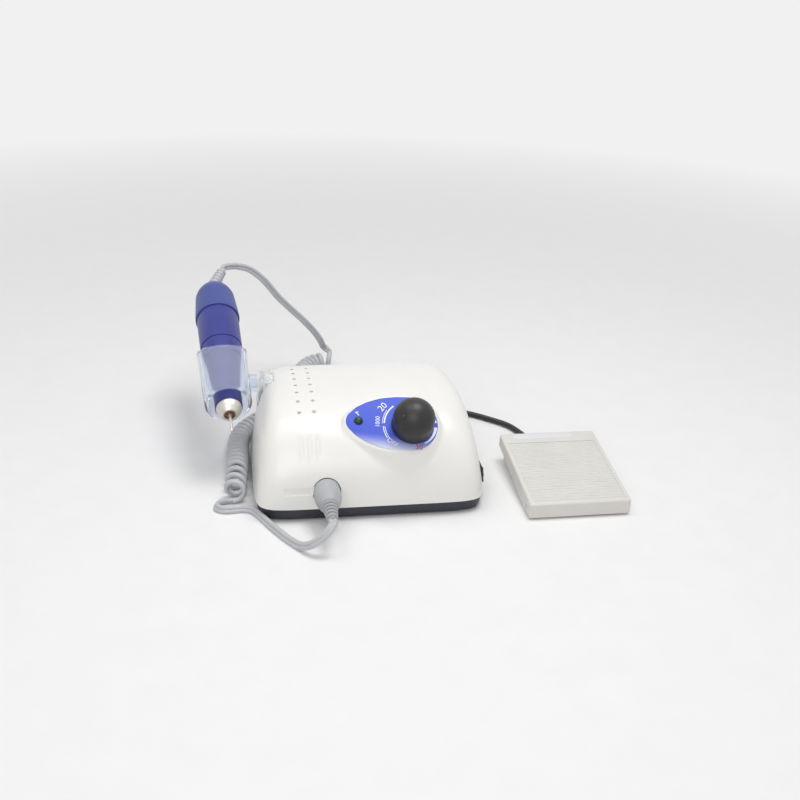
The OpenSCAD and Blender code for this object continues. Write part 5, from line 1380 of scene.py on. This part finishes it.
def tread_pad():
    start, end, soft = PEDAL_FRONT + PAD_MARGIN, PEDAL_BACK - PAD_BACK, 0.25
    count = int((end - start) // RIB_PITCH)
    first = start + ((end - start) - (count - 1) * RIB_PITCH) / 2
    profile = [(start, tread_z(start) - PAD_T), (start, tread_z(start) - RIB_H)]
    for i in range(count):
        y = first + i * RIB_PITCH
        low, high = y - RIB_W / 2, y + RIB_W / 2
        profile += [
            (low, tread_z(low) - RIB_H, soft), (low, tread_z(y), soft), (high, tread_z(y), soft),
            (high, tread_z(high) - RIB_H, soft)
        ]
    profile += [(end, tread_z(end) - RIB_H), (end, tread_z(end) - PAD_T)]
    pad = prism(filleted(profile, steps=3), PEDAL_W - 2 * PAD_MARGIN)
    piece("pad", pad, "tread", "pad_grey", "tread_pad", 30)


def pedal_label():
    """A blank label on the tread's back edge."""
    at_label = moved(PEDAL_X + LABEL_SHIFT, LABEL_Y, tread_z(LABEL_Y)) @ turned(math.atan(TREAD_RISE), "X")

    def outline(grow):
        right = arc(LABEL_R + grow, -math.pi / 2, math.pi / 2, 24, (LABEL_HALF, 0))
        return right + [(-x, -y) for x, y in right]

    label = pill(outline, -0.1, 0.14, 0.06, at_label, 2)
    piece("tread_label", label, "tread", "pedal_grey", finish="label_white")


def pedal_base():
    width, ear, ramp, low = PEDAL_W - 2 * BASE_SIDE, 4, 3, 1
    case = bevelled(prism([
        (BASE_FRONT, low), (BASE_FRONT, BASE_RIM), (HINGE_Y - ear, BASE_EAR_Z), (HINGE_Y + ear, BASE_EAR_Z),
        (HINGE_Y + ear + ramp, BASE_RIM), (BASE_BACK, BASE_RIM + 1), (BASE_BACK, low)
    ], width), 0.6, 3, 15)
    front, back, floor_z, above = BASE_FRONT + BASE_WALL, BASE_BACK - BASE_WALL, 3.2, 30
    inside = prism([(front, floor_z), (front, above), (back, above), (back, floor_z)], width - 2 * BASE_WALL)
    gland = drum(GLAND_R - 0.4, -4, 4, AT_GLAND, 32)
    piece("pedal_case", cut(case, inside, hinge_hole(), gland), "root", "pedal_grey", "pedal_base", 30)


def pedal_gland():
    rows = ribs(0, GLAND_OUT, GLAND_RIBS, (GLAND_R, GLAND_TIP_R), 0.5, GLAND_RIB)
    profile = filleted([(0, 0), *rows, (0, GLAND_OUT)], False)
    sleeve = lathe(profile, AT_GLAND @ moved(0, 0, FIT), steps=48)
    stem = drum(GLAND_R - 0.6, -3, 1, AT_GLAND)
    piece("gland_sleeve", fused(sleeve, stem), "root", "black_rubber", "pedal_gland", 60)


SPRING_WIRE, SPRING_TURNS, SPRING_STEPS, SPRING_KEEP = 0.9, 7, 24, 0.5


def return_spring():
    """The pedal's spring, wound from wire with closed ends."""
    low, high = [np.array(corner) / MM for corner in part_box("pedal_spring")]
    middle = (low + high) / 2
    r = (high[0] - low[0] - SPRING_WIRE) / 2
    bottom, top = low[2] + SPRING_WIRE / 2, high[2] - SPRING_WIRE / 2
    turns = np.linspace(0, SPRING_TURNS, SPRING_TURNS * SPRING_STEPS + 1)
    closed = SPRING_WIRE * 1.05
    knots = [0, 1, SPRING_TURNS - 1, SPRING_TURNS]
    out = np.array([(*polar(1, 2 * math.pi * t), 0) for t in turns])
    path = middle + r * out
    path[:, 2] = np.interp(turns, knots, [bottom, bottom + closed, top - closed, top])
    solid = sweep(path, round_section(SPRING_WIRE, 10), out)
    spring = piece("return_spring", solid, "root", "steel", "pedal_spring", 60)
    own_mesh(spring)


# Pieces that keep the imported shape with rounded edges: the rounding, body and slot of each
SOFT_NODES = {
    "switch_housing": (0.4, "root", "black_plastic"), "power_rocker": (0.5, "rocker", "black_plastic"),
    "mains_inlet": (0.5, "root", "black_plastic"), "fuse_holder": (0.5, "root", "black_plastic"),
    "pedal_jack": (0.3, "root", "steel"), "coil_tie": (0.2, "root", "tie_white"),
    "pedal_plug": (0.5, "root", "black_plastic"),
}
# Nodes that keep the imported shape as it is, by their slot
PLAIN_NODES = {
    "steel": [
        "case_screws", "pot_body", "pot_nut", "pot_shaft", "heat_sink", "transformer_screws", "inlet_pins",
        "motor_can", "spindle", "bearings", "hinge_pin"
    ],
    "black_rubber": ["rubber_feet", "pedal_feet"],
    "copper_winding": ["transformer_winding", "rotor"],
    "board_green": ["circuit_board"],
    "cap_sleeve": ["filter_capacitor"],
    "iron_core": ["transformer_core"],
    "magnet_black": ["motor_magnets"],
    "brush_brown": ["brush_holder"],
    "collet_bronze": ["collet"],
    "nose_metal": ["bur"],
    "black_plastic": ["pedal_switch"],
}


def packed_nodes():
    for node, (width, body, slot) in SOFT_NODES.items():
        piece(node + "_soft", softened(node, width), body, slot, node, 30)
    for slot, nodes in PLAIN_NODES.items():
        for node in nodes:
            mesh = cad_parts[node].data
            mesh.materials.clear()
            mesh.materials.append(FINISH[slot])


handpiece_cords(socket_and_plug())
pedal_cords()
upper_shell()
base_tray()
control_panel()
speed_knob()
holder_bracket()
cradle()
handpiece()
handpiece_relief()
pedal_tread()
tread_pad()
pedal_label()
pedal_base()
pedal_gland()
return_spring()
packed_nodes()
